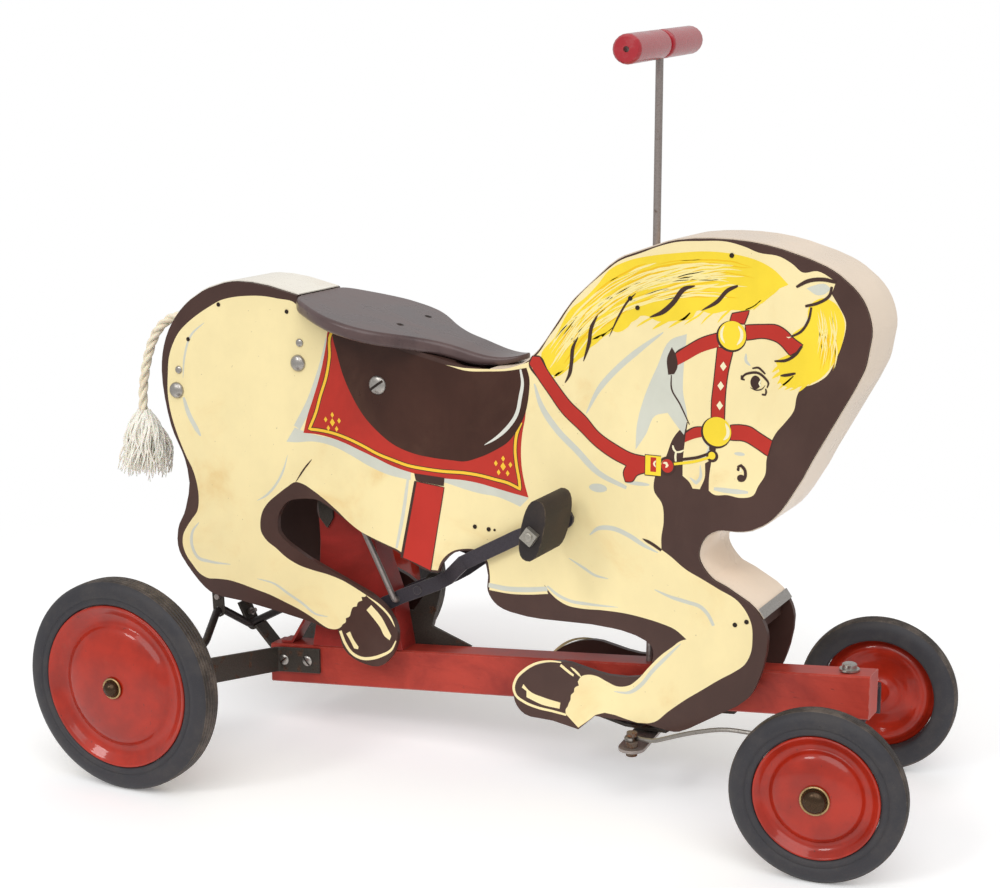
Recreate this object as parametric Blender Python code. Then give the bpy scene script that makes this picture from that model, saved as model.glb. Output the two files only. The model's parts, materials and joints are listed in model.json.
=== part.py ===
"""Pedal horse: a wooden ride-on horse on a beam with four wheels.

Two swinging pedals rock a push rod, a rocker and a connecting rod, and these
turn the cranked rear axle.  A column with a tee handle steers the front axle
through a drag link.  All sizes below are millimetres; the mesh helpers scale
them to metres.  +X is forward, +Y is the horse's left and +Z is up.
"""

import math

import bmesh
import bpy
from mathutils import Matrix, Vector

for old in list(bpy.data.objects):
    bpy.data.objects.remove(old, do_unlink=True)

MM = 0.001

# Clearances
GAP = 0.3
RUN_GAP = 0.4
BORE_GAP = 0.4

# Rear wheels and the cranked axle
REAR_WHEEL_R = 114.3
REAR_TYRE_W = 32.3
REAR_TYRE_T = 25.9
REAR_DISC_R = REAR_WHEEL_R - REAR_TYRE_T
REAR_OUTER_Y = 268.7
AXLE_R = 4.6
CRANK_R = 33.0
CRANK_REST_DEG = 146.0
CRANK_LEG_Y = 104.0
CRANK_INNER_Y = 12.0

# Front wheels, yoke and steering
FRONT_WHEEL_R = 85.3
FRONT_TYRE_W = 25.0
FRONT_TYRE_T = 24.3
FRONT_DISC_R = FRONT_WHEEL_R - FRONT_TYRE_T
FRONT_OUTER_Y = 169.4
FRONT_AXLE_R = 4.0
KINGPIN_X = 714.5
FRONT_AXLE_LEAD = 3.5
STEER_REST_DEG = 5.4
YOKE_HALF = 127.0
YOKE_W = 23.0
YOKE_DROP = 3.0
STRAP_T = 3.2
ARM_R = 61.0
ARM_W = 28.0
ARM_Z = 60.0
COLUMN_X = 498.0
COLUMN_R = 3.97
COLUMN_FOOT_Z = 56.0
HANDLE_Z = 778.0
HANDLE_BAR_R = 7.0
GRIP_R = 14.6
GRIP_END = 112.0
BAR_LIFT = 0.042
GRIP_ROOT = 1.2
LINK_R = 2.4
LINK_EYE_Z = 72.5
LINK_RUN_Z = 100.0

# Beam
BEAM_X0 = 30.7
BEAM_X1 = 740.0
BEAM_Z0 = 49.8
BEAM_SLOPE = 0.0917
BEAM_H = 45.9
BEAM_HALF = 15.24

# Body panels and what lies between them
PANEL_OUT = 45.5
PANEL_T = 6.35
STRIP_T = 1.2
STRIP_HALF = 42.0
SEAT_LINE_X = 96.0
SEAT_LINE_Z = 493.7
SEAT_SLOPE = -0.235
SEAT_T = 15.0

# Layers inside the body, measured from the middle outwards
LEVER_T = 3.2
LEVER_H = 15.9
ROD_R = 3.5
PLATE_T = 2.6

# Pivots in side view
LEVER_PIVOT = (230.0, 187.0)
POST_BOLT = (95.25, 434.8)
RUMP_BOLT = (-68.6, 391.7)
SEAT_BOLT = (195.6, 418.0)
ROCKER_REAR = (-40.0, 395.0)
ROCKER_FRONT = (119.0, 428.0)
PUSH_FOOT = (203.0, 173.0)
PEDAL_BOLT = (421.0, 296.0)

LEVER_IN = BEAM_HALF + GAP + STRAP_T + 0.36
LEVER_OUT = LEVER_IN + LEVER_T
ROD_Y = LEVER_OUT + RUN_GAP + ROD_R
ROCKER_IN = ROD_Y + ROD_R + RUN_GAP
ROCKER_OUT = ROCKER_IN + PLATE_T
CON_IN = ROCKER_OUT + RUN_GAP
CON_OUT = CON_IN + PLATE_T
PANEL_IN = PANEL_OUT - PANEL_T

# Pedals
LEVER_FRONT_Y = 52.0
PEDAL_IN = 68.0
PEDAL_L = 64.0
PEDAL_TALL = 65.0
PEDAL_LIFT = 5.0
PEDAL_THICK = 25.0
PEDAL_TILT_DEG = 12.0
PEDAL_BOLT_R = 4.6
PEDAL_NUT = 14.3
LEVER_SHAFT_R = 5.0

# Bolts
POST_BOLT_R = 4.0
RUMP_BOLT_R = 3.2
SEAT_BOLT_R = 3.5
KINGPIN_R = 4.8
NAIL_R = 2.3

WHEEL_SIDES = 32
FRONT_SIDES = 28

CREAM = "f2e2b1"
BROWN = "58433d"
RED = "af4738"
POST_RED = "8d322b"
DISC_RED = "9c3a2c"
TYRE = "35302d"
STEEL = "796d6c"
DARK_STEEL = "302a31"
STRAP_STEEL = "484239"
BRIGHT = "a7a3a0"
TAN = "e6cdb7"
SEAT_DARK = "4e4042"
PEDAL_DARK = "3c3633"
GRIP_RED = "a52a33"
ROPE = "fdfcf7"

BUILT = []


def linear(channel):
    """Turn one sRGB channel into its linear value."""
    if channel <= 0.04045:
        return channel / 12.92
    return ((channel + 0.055) / 1.055) ** 2.4


def material(name, colour, rough, metal=0.0):
    """Make a Principled material from a hex colour."""
    mat = bpy.data.materials.new(name)
    mat.use_nodes = True
    shader = mat.node_tree.nodes["Principled BSDF"]
    rgb = [linear(int(colour[i:i + 2], 16) / 255) for i in (0, 2, 4)]
    shader.inputs["Base Color"].default_value = (*rgb, 1.0)
    shader.inputs["Roughness"].default_value = rough
    shader.inputs["Metallic"].default_value = metal
    mat.diffuse_color = (*rgb, 1.0)
    return mat


def finish(name, bm, colour, rough, metal=0.0, origin=(0, 0, 0), sharp=35.0):
    """Turn a closed bmesh in millimetres into a named object in metres."""
    bmesh.ops.recalc_face_normals(bm, faces=bm.faces)
    start = Vector(origin)
    bmesh.ops.transform(
        bm, matrix=Matrix.Scale(MM, 4) @ Matrix.Translation(-start),
        verts=bm.verts)
    mesh = bpy.data.meshes.new(name)
    bm.to_mesh(mesh)
    bm.free()
    mesh.shade_smooth()
    mesh.set_sharp_from_angle(angle=math.radians(sharp))
    mesh.materials.append(material(name, colour, rough, metal))
    obj = bpy.data.objects.new(name, mesh)
    obj.location = start * MM
    bpy.context.collection.objects.link(obj)
    BUILT.append(obj)
    return obj


def add_rings(bm, rings, closed=False):
    """Bridge equal rings of points into one solid."""
    made = [[bm.verts.new(p) for p in ring] for ring in rings]
    count = len(made[0])
    pairs = list(zip(made, made[1:]))
    if closed:
        pairs.append((made[-1], made[0]))
    for low, high in pairs:
        for i in range(count):
            j = (i + 1) % count
            bm.faces.new((low[i], low[j], high[j], high[i]))
    if not closed:
        bm.faces.new(list(reversed(made[0])))
        bm.faces.new(made[-1])


def add_slab(bm, outline, low, high):
    """Extrude an (x, z) outline along Y from low to high."""
    rings = [[(x, y, z) for x, z in outline] for y in (low, high)]
    add_rings(bm, rings)


def add_box(bm, x0, x1, y0, y1, z0, z1):
    """Add a plain box."""
    add_slab(bm, [(x0, z0), (x1, z0), (x1, z1), (x0, z1)], y0, y1)


def frame_for(direction):
    """Give two unit vectors square to a direction."""
    axis = Vector(direction).normalized()
    guide = Vector((0, 0, 1)) if abs(axis.z) < 0.9 else Vector((1, 0, 0))
    side = axis.cross(guide).normalized()
    return axis, side, axis.cross(side).normalized()


def add_turned(bm, centre, direction, profile, sides, ring=False, phase=0.0):
    """Turn a profile of (along, radius) points about an axis.

    With ring the profile is a closed loop clear of the axis; without it the
    first and last points close as flat ends.
    """
    axis, side, up = frame_for(direction)
    base = Vector(centre)
    rings = []
    for along, radius in profile:
        points = []
        for i in range(sides):
            angle = phase + 2 * math.pi * i / sides
            points.append(base + axis * along
                          + side * (radius * math.cos(angle))
                          + up * (radius * math.sin(angle)))
        rings.append(points)
    add_rings(bm, rings, closed=ring)


def add_rod(bm, start, end, radius, sides=14):
    """Add a round bar between two points."""
    start = Vector(start)
    end = Vector(end)
    add_turned(bm, start, end - start,
               [(0, radius), ((end - start).length, radius)], sides)


def dome_profile(radius, height, steps=3):
    """Profile of a low round head that starts at its flat seat."""
    points = [(0, radius), (0.35 * height, radius * 0.985)]
    for i in range(1, steps + 1):
        angle = math.pi / 2 * i / (steps + 0.35)
        points.append((height * (0.35 + 0.65 * math.sin(angle)),
                       radius * math.cos(angle)))
    return points


def rounded(points, radii, steps=3):
    """Round the inner corners of a 3-D path."""
    points = [Vector(p) for p in points]
    out = [points[0]]
    for i in range(1, len(points) - 1):
        here = points[i]
        back = (points[i - 1] - here).normalized()
        front = (points[i + 1] - here).normalized()
        reach = radii if isinstance(radii, (int, float)) else radii[i - 1]
        start = here + back * reach
        end = here + front * reach
        for k in range(steps + 1):
            t = k / steps
            out.append(start.lerp(here, t).lerp(here.lerp(end, t), t))
    out.append(points[-1])
    return out


def add_tube(bm, path, radius, sides=10):
    """Sweep a round section along a path with the least twist."""
    path = [Vector(p) for p in path]
    tangents = []
    for i in range(len(path)):
        a = path[max(i - 1, 0)]
        b = path[min(i + 1, len(path) - 1)]
        first = (path[i] - a).normalized() if i else None
        last = (b - path[i]).normalized() if i < len(path) - 1 else None
        if first is None:
            tangents.append(last)
        elif last is None:
            tangents.append(first)
        else:
            tangents.append((first + last).normalized())
    side = frame_for(tangents[0])[1]
    rings = []
    for point, tangent in zip(path, tangents):
        side = (side - tangent * side.dot(tangent)).normalized()
        up = tangent.cross(side)
        rings.append([point + side * (radius * math.cos(2 * math.pi * k / sides))
                      + up * (radius * math.sin(2 * math.pi * k / sides))
                      for k in range(sides)])
    add_rings(bm, rings)


def bent_strip(path, thick):
    """Outline of a bent flat strip from its middle line in two axes."""
    left = []
    right = []
    for i, (x, z) in enumerate(path):
        dirs = []
        if i:
            dirs.append((x - path[i - 1][0], z - path[i - 1][1]))
        if i < len(path) - 1:
            dirs.append((path[i + 1][0] - x, path[i + 1][1] - z))
        units = [(dx / math.hypot(dx, dz), dz / math.hypot(dx, dz))
                 for dx, dz in dirs]
        tx = sum(u[0] for u in units)
        tz = sum(u[1] for u in units)
        size = math.hypot(tx, tz)
        tx /= size
        tz /= size
        lean = units[0][0] * tx + units[0][1] * tz
        half = thick / 2 / max(lean, 0.5)
        left.append((x - tz * half, z + tx * half))
        right.append((x + tz * half, z - tx * half))
    return left + right[::-1]


def arc(cx, cz, radius, start, stop, steps):
    """Points on an arc, angles in degrees."""
    return [(cx + radius * math.cos(math.radians(start + (stop - start) * i / steps)),
             cz + radius * math.sin(math.radians(start + (stop - start) * i / steps)))
            for i in range(steps + 1)]


def stadium(a, b, radius, steps=6):
    """Outline of a flat bar with round ends about two (x, z) points."""
    angle = math.degrees(math.atan2(b[1] - a[1], b[0] - a[0]))
    return (arc(a[0], a[1], radius, angle + 90, angle + 270, steps)
            + arc(b[0], b[1], radius, angle - 90, angle + 90, steps))


def smooth(knots, steps):
    """Run a centripetal curve through knots."""
    pts = [Vector(k) for k in knots]
    if len(pts) == 2:
        return pts
    pts = [pts[0] * 2 - pts[1]] + pts + [pts[-1] * 2 - pts[-2]]
    out = [pts[1]]
    for i in range(1, len(pts) - 2):
        p0, p1, p2, p3 = pts[i - 1:i + 3]
        t1 = math.sqrt((p1 - p0).length)
        t2 = t1 + math.sqrt((p2 - p1).length)
        t3 = t2 + math.sqrt((p3 - p2).length)
        for k in range(1, steps + 1):
            t = t1 + (t2 - t1) * k / steps
            a1 = p0.lerp(p1, t / t1)
            a2 = p1.lerp(p2, (t - t1) / (t2 - t1))
            a3 = p2.lerp(p3, (t - t2) / (t3 - t2))
            b1 = a1.lerp(a2, t / t2)
            b2 = a2.lerp(a3, (t - t1) / (t3 - t1))
            out.append(b1.lerp(b2, (t - t1) / (t2 - t1)))
    return out


def cut(target, *cutters, join=False):
    """Cut solids away from an object, or join them to it, exactly."""
    for bm in cutters:
        bmesh.ops.recalc_face_normals(bm, faces=bm.faces)
        shift = Vector(target.location)
        bmesh.ops.transform(
            bm, matrix=Matrix.Translation(-shift) @ Matrix.Scale(MM, 4),
            verts=bm.verts)
        mesh = bpy.data.meshes.new("cutter")
        bm.to_mesh(mesh)
        bm.free()
        tool = bpy.data.objects.new("cutter", mesh)
        tool.location = shift
        tool.hide_render = True
        tool.display_type = "WIRE"
        bpy.context.collection.objects.link(tool)
        step = target.modifiers.new("cut", "BOOLEAN")
        step.operation = "UNION" if join else "DIFFERENCE"
        step.solver = "EXACT"
        step.object = tool
        bpy.context.view_layer.update()
        graph = bpy.context.evaluated_depsgraph_get()
        fresh = bpy.data.meshes.new_from_object(target.evaluated_get(graph))
        target.modifiers.clear()
        target.data = fresh
        bpy.data.objects.remove(tool, do_unlink=True)
    target.data.shade_smooth()
    target.data.set_sharp_from_angle(angle=math.radians(35))
    return target


def hole(centre, direction, radius, length, sides=12):
    """A round cutter centred on a point."""
    bm = bmesh.new()
    axis = Vector(direction).normalized()
    mid = Vector(centre)
    add_rod(bm, mid - axis * length / 2, mid + axis * length / 2, radius, sides)
    return bm


def across(point, radius, half=60.0, sides=12):
    """A cutter along Y through an (x, z) point."""
    return hole((point[0], 0, point[1]), (0, 1, 0), radius, 2 * half, sides)


def beam_bottom(x):
    """Height of the beam's underside."""
    return BEAM_Z0 + BEAM_SLOPE * (x - BEAM_X0)


def beam_top(x):
    """Height of the beam's top."""
    return beam_bottom(x) + BEAM_H


def seat_line(x):
    """Height of the panels' straight edge under the seat."""
    return SEAT_LINE_Z + SEAT_SLOPE * (x - SEAT_LINE_X)


def slim(points, limit):
    """Leave out points that lie within a limit of the line beside them."""
    if len(points) < 3:
        return list(points)
    a = points[0]
    b = points[-1]
    base = b - a
    worst = 0.0
    where = 0
    for i in range(1, len(points) - 1):
        off = points[i] - a
        if base.length > 0:
            away = (off - base * (off.dot(base) / base.length_squared)).length
        else:
            away = off.length
        if away > worst:
            worst = away
            where = i
    if worst <= limit:
        return [a, b]
    return slim(points[:where + 1], limit)[:-1] + slim(points[where:], limit)


def offset(path, distance):
    """Move an (x, z) path sideways, to the right of its travel."""
    out = []
    for i, point in enumerate(path):
        normals = []
        if i:
            d = (point - path[i - 1]).normalized()
            normals.append(Vector((d.y, -d.x)))
        if i < len(path) - 1:
            d = (path[i + 1] - point).normalized()
            normals.append(Vector((d.y, -d.x)))
        mean = normals[0] + normals[-1]
        mean.normalize()
        out.append(point + mean * (distance / max(mean.dot(normals[0]), 0.5)))
    return out


def hull(points):
    """Convex outline of (x, z) points."""
    pts = sorted(set((round(x, 4), round(z, 4)) for x, z in points))

    def half(seq):
        line = []
        for p in seq:
            while len(line) > 1:
                (ax, az), (bx, bz) = line[-2], line[-1]
                if (bx - ax) * (p[1] - az) - (bz - az) * (p[0] - ax) > 0:
                    break
                line.pop()
            line.append(p)
        return line[:-1]

    return half(pts) + half(pts[::-1])


def turned_about(bm, x, degrees):
    """Turn a bmesh about a vertical line at x in the middle plane."""
    place = Matrix.Translation((x, 0, 0))
    spin = place @ Matrix.Rotation(math.radians(degrees), 4, "Z") @ place.inverted()
    bmesh.ops.transform(bm, matrix=spin, verts=bm.verts)
    return bm


# Outline of the horse, from the saddle end round the tail, the hind leg,
# the belly, the front leg, the chest and the head back to the saddle.
# Each run is a smooth curve, and the runs meet in corners.
RUMP_AND_LEG = [
    (95.5, 509.5), (45, 519.5), (7.5, 519.5), (-30, 507), (-61, 483.5),
    (-81.5, 451.5), (-89, 412.5), (-78.5, 350), (-61, 312.5), (-56, 290.5),
    (-56, 278), (-64.5, 247), (-71.5, 234.5), (-75, 220.5), (-74, 205),
    (-67.5, 192.5), (-39.5, 163), (-24, 155.5), (14, 152.5), (101, 140.5),
    (129, 134.5), (140, 136)]
HIND_HOOF = [
    (140, 136), (148, 114), (160.5, 104.5), (192, 100), (209, 114.5),
    (217, 142.5), (206, 166), (182.5, 183), (167, 189), (126, 205.5),
    (95, 218), (65, 239), (64.5, 258), (70, 269), (79.5, 277.5),
    (107.5, 283), (120, 281.5), (182.5, 247), (217, 235.5), (229, 228.5),
    (254, 218), (268.5, 217.5)]
BELLY_AND_HOOF = [
    (268.5, 217.5), (273, 228), (289, 242.5), (314, 246.5), (323, 241),
    (329, 222), (328.5, 205), (340.5, 190), (375, 182.5), (450, 184),
    (494, 180.5), (514, 173), (519, 167.5), (519.5, 155), (512.5, 141),
    (503, 134.5), (475, 131), (456, 132.5), (415.5, 138.5), (378, 125),
    (361, 106.5), (361, 86), (373, 73), (406, 71), (436, 66)]
FRONT_AND_HEAD = [
    (455, 84), (515, 84), (540, 81), (550, 82), (600, 112), (615.5, 122),
    (628, 136), (640.5, 174), (641.5, 202), (628, 224), (597, 242.5),
    (581, 250), (567, 270.5), (573, 291), (587.5, 300.5), (606, 301.5),
    (622, 304.5), (644, 319), (669, 356), (681, 380), (730, 473),
    (733, 486.5), (736, 513), (726.5, 540), (703, 562.5), (673, 576.5),
    (612.5, 590.5), (537.5, 589), (500, 576.5), (475, 567), (437.5, 534),
    (425, 522), (387.5, 469), (376.5, 458)]
SADDLE_DIP = [(376.5, 458), (365, 451), (350, 446), (330, 444)]
SADDLE_FRONT_X = 300.0

SMOOTH_STEPS = 4
OUTLINE_LIMIT = 0.4
RUNS = [slim(smooth(run, SMOOTH_STEPS), OUTLINE_LIMIT)
        for run in (RUMP_AND_LEG, HIND_HOOF, BELLY_AND_HOOF, FRONT_AND_HEAD)]
DIP = slim(smooth(SADDLE_DIP + [(SADDLE_FRONT_X, seat_line(SADDLE_FRONT_X))],
                  SMOOTH_STEPS), OUTLINE_LIMIT)
OUTLINE = []
for run in RUNS + [DIP]:
    OUTLINE += [tuple(p) for p in run
                if not OUTLINE or (Vector(p) - Vector(OUTLINE[-1])).length > 0.01]
OUTLINE.append((SEAT_LINE_X, seat_line(SEAT_LINE_X)))

# Side panels
for side, label in ((-1, "right"), (1, "left")):
    bm = bmesh.new()
    add_slab(bm, OUTLINE, side * PANEL_IN, side * PANEL_OUT)
    panel = finish("side_panel_" + label, bm, CREAM, 0.45)
    cut(panel,
        across(POST_BOLT, POST_BOLT_R + BORE_GAP),
        across(RUMP_BOLT, RUMP_BOLT_R + BORE_GAP),
        across(SEAT_BOLT, SEAT_BOLT_R + BORE_GAP))

# Bent cover strips on the panels' edges
KNEE_END_Z = 213.0
TAIL_EXIT_Z = 475.0
NECK_HOLE_R = 6.5

front_path = [p for p in RUNS[3] if p.y > KNEE_END_Z and p.x > 370]
front_path = [p for p in front_path if not (p.x < 520 and p.y < 300)] + DIP[1:-1]
bm = bmesh.new()
skin = offset(front_path, GAP)
outer = offset(front_path, GAP + STRIP_T)
add_slab(bm, [tuple(p) for p in skin + outer[::-1]], -STRIP_HALF, STRIP_HALF)
strip = finish("front_strip", bm, TAN, 0.5)
cut(strip, hole((COLUMN_X, 0, 575), (0, 0, 1), NECK_HOLE_R, 60))

rear_path = [p for p in RUNS[0] if p.y > TAIL_EXIT_Z and p.x < SEAT_LINE_X]
bm = bmesh.new()
skin = offset(rear_path, GAP)
outer = offset(rear_path, GAP + STRIP_T)
add_slab(bm, [tuple(p) for p in skin + outer[::-1]], -STRIP_HALF, STRIP_HALF)
finish("rear_strip", bm, TAN, 0.5)

# Bright metal binding over the front strip's lower end
TRIM_T = 0.8
TRIM_L = 11.0
trim_path = [front_path[0], front_path[0].lerp(front_path[1], 1.0)]
step = (trim_path[1] - trim_path[0]).normalized() * TRIM_L
trim_path[1] = trim_path[0] + step
bm = bmesh.new()
low = offset(trim_path, GAP + STRIP_T + GAP)
high = offset(trim_path, GAP + STRIP_T + GAP + TRIM_T)
add_slab(bm, [tuple(p) for p in low + high[::-1]],
         -STRIP_HALF - 1.5, STRIP_HALF + 1.5)
finish("strip_trim", bm, BRIGHT, 0.35, 0.8)

# Beam
CHAMFER = 1.5
bm = bmesh.new()
rings = []
for x in (BEAM_X0, BEAM_X1):
    low = beam_bottom(x)
    high = beam_top(x)
    h = BEAM_HALF
    c = CHAMFER
    rings.append([(x, -h, low + c), (x, -h + c, low), (x, h - c, low),
                  (x, h, low + c), (x, h, high - c), (x, h - c, high),
                  (x, -h + c, high), (x, -h, high - c)])
add_rings(bm, rings)
beam = finish("beam", bm, RED, 0.4)
cut(beam,
    hole((COLUMN_X, 0, beam_bottom(COLUMN_X) + BEAM_H / 2), (0, 0, 1),
         COLUMN_R + BORE_GAP, 2 * BEAM_H),
    hole((KINGPIN_X, 0, beam_bottom(KINGPIN_X) + BEAM_H / 2), (0, 0, 1),
         KINGPIN_R + BORE_GAP, 2 * BEAM_H))

# Post on the beam, with a rounded top about its bolt
POST_TOP_R = 15.0
POST_REAR_X = 88.0
POST_FRONT_X = 206.0
post_outline = (
    [(POST_REAR_X, beam_top(POST_REAR_X) + GAP),
     (POST_FRONT_X, beam_top(POST_FRONT_X) + GAP),
     (203, 127), (196, 165), (180, 208),
     (POST_BOLT[0] + POST_TOP_R + 10, 400)]
    + arc(POST_BOLT[0], POST_BOLT[1], POST_TOP_R, 5, 180, 8)
    + [(96 - POST_TOP_R + 10, 400), (101, 229), (97, 150)])
bm = bmesh.new()
add_slab(bm, post_outline, -BEAM_HALF, BEAM_HALF)
post = finish("post", bm, POST_RED, 0.5)
cut(post, across(POST_BOLT, POST_BOLT_R + BORE_GAP))

# Flat steel on the near face of the post
POST_STRAP_W = 18.0
POST_STRAP_FOOT = (112.0, 244.0)
bm = bmesh.new()
foot = Vector(POST_STRAP_FOOT)
head = Vector(POST_BOLT)
run = (foot - head).normalized()
wide = Vector((-run.y, run.x)) * (POST_STRAP_W / 2)
tip = foot
shoulder = foot - run * 12
angle = math.degrees(math.atan2(run.y, run.x))
outline = ([tuple(shoulder + wide), tuple(tip), tuple(shoulder - wide)]
           + arc(POST_BOLT[0], POST_BOLT[1], POST_STRAP_W / 2,
                 angle + 270, angle + 90, 6))
add_slab(bm, outline, -BEAM_HALF - GAP, -BEAM_HALF - GAP - STRAP_T)
strap = finish("post_strap", bm, STRAP_STEEL, 0.6, 0.6)
cut(strap, across(POST_BOLT, POST_BOLT_R + BORE_GAP))

# Bent brace behind the post, standing on the beam
BRACE_T = 3.0
BRACE_HALF = 10.0
half_t = BRACE_T / 2 + GAP
POST_EDGE = [(101.0, 229.0), (97.0, 150.0),
             (POST_REAR_X, beam_top(POST_REAR_X) + GAP)]


def post_edge(z):
    """Rear edge of the post at a height between its two upper knots."""
    (x1, z1), (x0, z0) = POST_EDGE[0], POST_EDGE[1]
    return x0 + (x1 - x0) * (z - z0) / (z1 - z0)


brace_path = [
    (42, beam_top(42) + half_t), (56, beam_top(56) + half_t),
    (post_edge(165) - half_t, 165), (post_edge(185) - half_t, 185)]
bm = bmesh.new()
add_slab(bm, bent_strip(brace_path, BRACE_T), -BRACE_HALF, BRACE_HALF)
finish("rear_brace", bm, POST_RED, 0.5, 0.2)

# Plate on the far side that braces the post and holds the lever sleeve
SLEEVE_R = 7.0
px, pz = LEVER_PIVOT
bracket_outline = (
    [(188, 98), (262, 101), (277, 118), (227, 135)]
    + arc(px, pz, 11, 0, 180, 8)
    + [(px - 11, 172), (203, 150), (188, 150)])
bm = bmesh.new()
add_slab(bm, bracket_outline, BEAM_HALF + GAP, BEAM_HALF + GAP + STRAP_T)
bracket = finish("lever_bracket", bm, STRAP_STEEL, 0.6, 0.6)
sleeve = bmesh.new()
add_rod(sleeve, (px, -(LEVER_IN - RUN_GAP), pz),
        (px, BEAM_HALF + GAP + STRAP_T / 2, pz), SLEEVE_R)
cut(bracket, sleeve, join=True)
cut(bracket, across(LEVER_PIVOT, LEVER_SHAFT_R + BORE_GAP))

# Seat on the panels' straight edges
SEAT_X0 = SEAT_LINE_X + 0.6
SEAT_HALF = [
    (SEAT_X0, 45), (101, 60), (110, 70), (124, 80), (140, 88), (160, 91.5),
    (178, 92), (192, 91), (203, 88), (213, 82), (225, 71), (240, 57),
    (254, 46.5), (267, 39.5), (280, 36), (295, 34), (310, 32), (323, 29),
    (335, 24), (345, 18), (352, 12), (355, 8)]
SEAT_CORNER = 4.5
NOSE_X = 290.0


def seat_under(x):
    """Underside of the seat board, lifting a little at the nose."""
    if x <= NOSE_X:
        return seat_line(x) + GAP
    t = x - NOSE_X
    return seat_line(NOSE_X) + GAP + SEAT_SLOPE * t + 0.0045 * t * t


bm = bmesh.new()
rings = []
for i, (x, half) in enumerate(SEAT_HALF):
    low = seat_under(x)
    thick = SEAT_T if x < 345 else SEAT_T - 0.35 * (x - 345)
    if x > 345:
        low += 0.18 * (x - 345)
    high = low + thick
    c = min(SEAT_CORNER, half / 2)
    ring = []
    for cy, cz, a0 in ((half - c, high - c, 0), (-half + c, high - c, 90),
                       (-half + c, low + c, 180), (half - c, low + c, 270)):
        for k in range(3):
            a = math.radians(a0 + 45 * k)
            ring.append((x, cy + c * math.cos(a), cz + c * math.sin(a)))
    rings.append(ring)
add_rings(bm, rings)
seat = finish("seat", bm, SEAT_DARK, 0.35)
SEAT_SCREWS = [(211.0, -21.8), (209.5, 44.3)]
RECESS_R = 5.5
RECESS_D = 3.0
for x, y in SEAT_SCREWS:
    top = seat_under(x) + SEAT_T
    cut(seat, hole((x, y, top + 10 - RECESS_D), (0, 0, 1), RECESS_R, 20, 12))
# Blocks between the panels
BLOCK_HALF = PANEL_IN - GAP
bm = bmesh.new()
block_top = [(285, seat_line(285) - GAP), (140, seat_line(140) - GAP)]
add_slab(bm, [(140, 400), (285, 400)] + block_top, -BLOCK_HALF, BLOCK_HALF)
block = finish("seat_block", bm, BROWN, 0.7)
cut(block, across(SEAT_BOLT, SEAT_BOLT_R + BORE_GAP))

BLOCKS = {
    "rump_block": (-60.0, -41.0, 442.0, 462.0),
    "belly_block": (306.0, 338.0, 262.0, 286.0),
    "head_block": (582.0, 608.0, 566.0, 586.0),
    "knee_block": (600.0, 628.0, 196.0, 214.0)}
for name, (x0, x1, z0, z1) in BLOCKS.items():
    bm = bmesh.new()
    add_box(bm, x0, x1, -BLOCK_HALF, BLOCK_HALF, z0, z1)
    finish(name, bm, BROWN, 0.7)

bm = bmesh.new()
add_box(bm, COLUMN_X - 19, COLUMN_X + 19, -BLOCK_HALF, BLOCK_HALF, 508, 540)
neck = finish("neck_block", bm, BROWN, 0.7)
cut(neck, hole((COLUMN_X, 0, 524), (0, 0, 1), COLUMN_R + BORE_GAP, 80))

# Bolts through the panels, with round heads outside
for name, point, radius, head_r, head_h in (
        ("rump_bolt", RUMP_BOLT, RUMP_BOLT_R, 9.0, 5.0),
        ("post_bolt", POST_BOLT, POST_BOLT_R, 9.0, 5.0),
        ("seat_bolt", SEAT_BOLT, SEAT_BOLT_R, 10.0, 3.2)):
    bm = bmesh.new()
    face = PANEL_OUT + GAP
    head_points = dome_profile(head_r, head_h, 2)
    profile = [(-face - a, r) for a, r in reversed(head_points)]
    profile += [(-face, radius), (face, radius)]
    profile += [(face + a, r) for a, r in head_points]
    add_turned(bm, (point[0], 0, point[1]), (0, 1, 0), profile, 12)
    finish(name, bm, BRIGHT, 0.4, 0.8)

# Bushes on the post bolt
BUSH_R = 8.0
strap_face = BEAM_HALF + GAP + STRAP_T
for name, low, high in (
        ("outer_bush", -PANEL_IN + GAP, -ROCKER_OUT - GAP),
        ("inner_bush", -ROCKER_IN + GAP, -strap_face - GAP)):
    bm = bmesh.new()
    add_turned(bm, (POST_BOLT[0], 0, POST_BOLT[1]), (0, 1, 0),
               [(low, POST_BOLT_R + BORE_GAP), (low, BUSH_R),
                (high, BUSH_R), (high, POST_BOLT_R + BORE_GAP)], 14, ring=True)
    finish(name, bm, STEEL, 0.5, 0.8)


def wheel(label, centre, out, radius, width, disc_r, bore, hub_in, sides):
    """A rubber tyre and a pressed disc with its hub on one axle.

    centre lies on the axle at the tyre's inner face, and out points along
    the axle away from the horse.  hub_in is how far the hub reaches inward.
    """
    r_in = disc_r + GAP
    bm = bmesh.new()
    tread = [(0, r_in), (0, radius - 8), (2.2, radius - 2.2), (7, radius),
             (width - 7, radius), (width - 2.2, radius - 2.2),
             (width, radius - 8), (width, r_in)]
    add_turned(bm, centre, out, tread, sides, ring=True)
    finish(label + "_tyre", bm, TYRE, 0.7, origin=centre)
    face = width - 4.5
    dish = [(-hub_in, bore), (-hub_in, 8.5), (face - 8, 11),
            (face - 8.5, disc_r * 0.8), (face - 4.5, disc_r),
            (face, disc_r), (face, disc_r - 3), (face - 4.5, disc_r * 0.86),
            (face - 1.5, disc_r * 0.66), (face - 1.5, 17), (width + 2, 9),
            (width + 2, bore)]
    bm = bmesh.new()
    add_turned(bm, centre, out, dish, sides, ring=True)
    finish(label + "_disc", bm, DISC_RED, 0.35, 0.2, origin=centre)


CAP_BORE = 5.6
CAP_PROFILE_R = 14.0
AXLE_PAST = CAP_BORE - RUN_GAP


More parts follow.
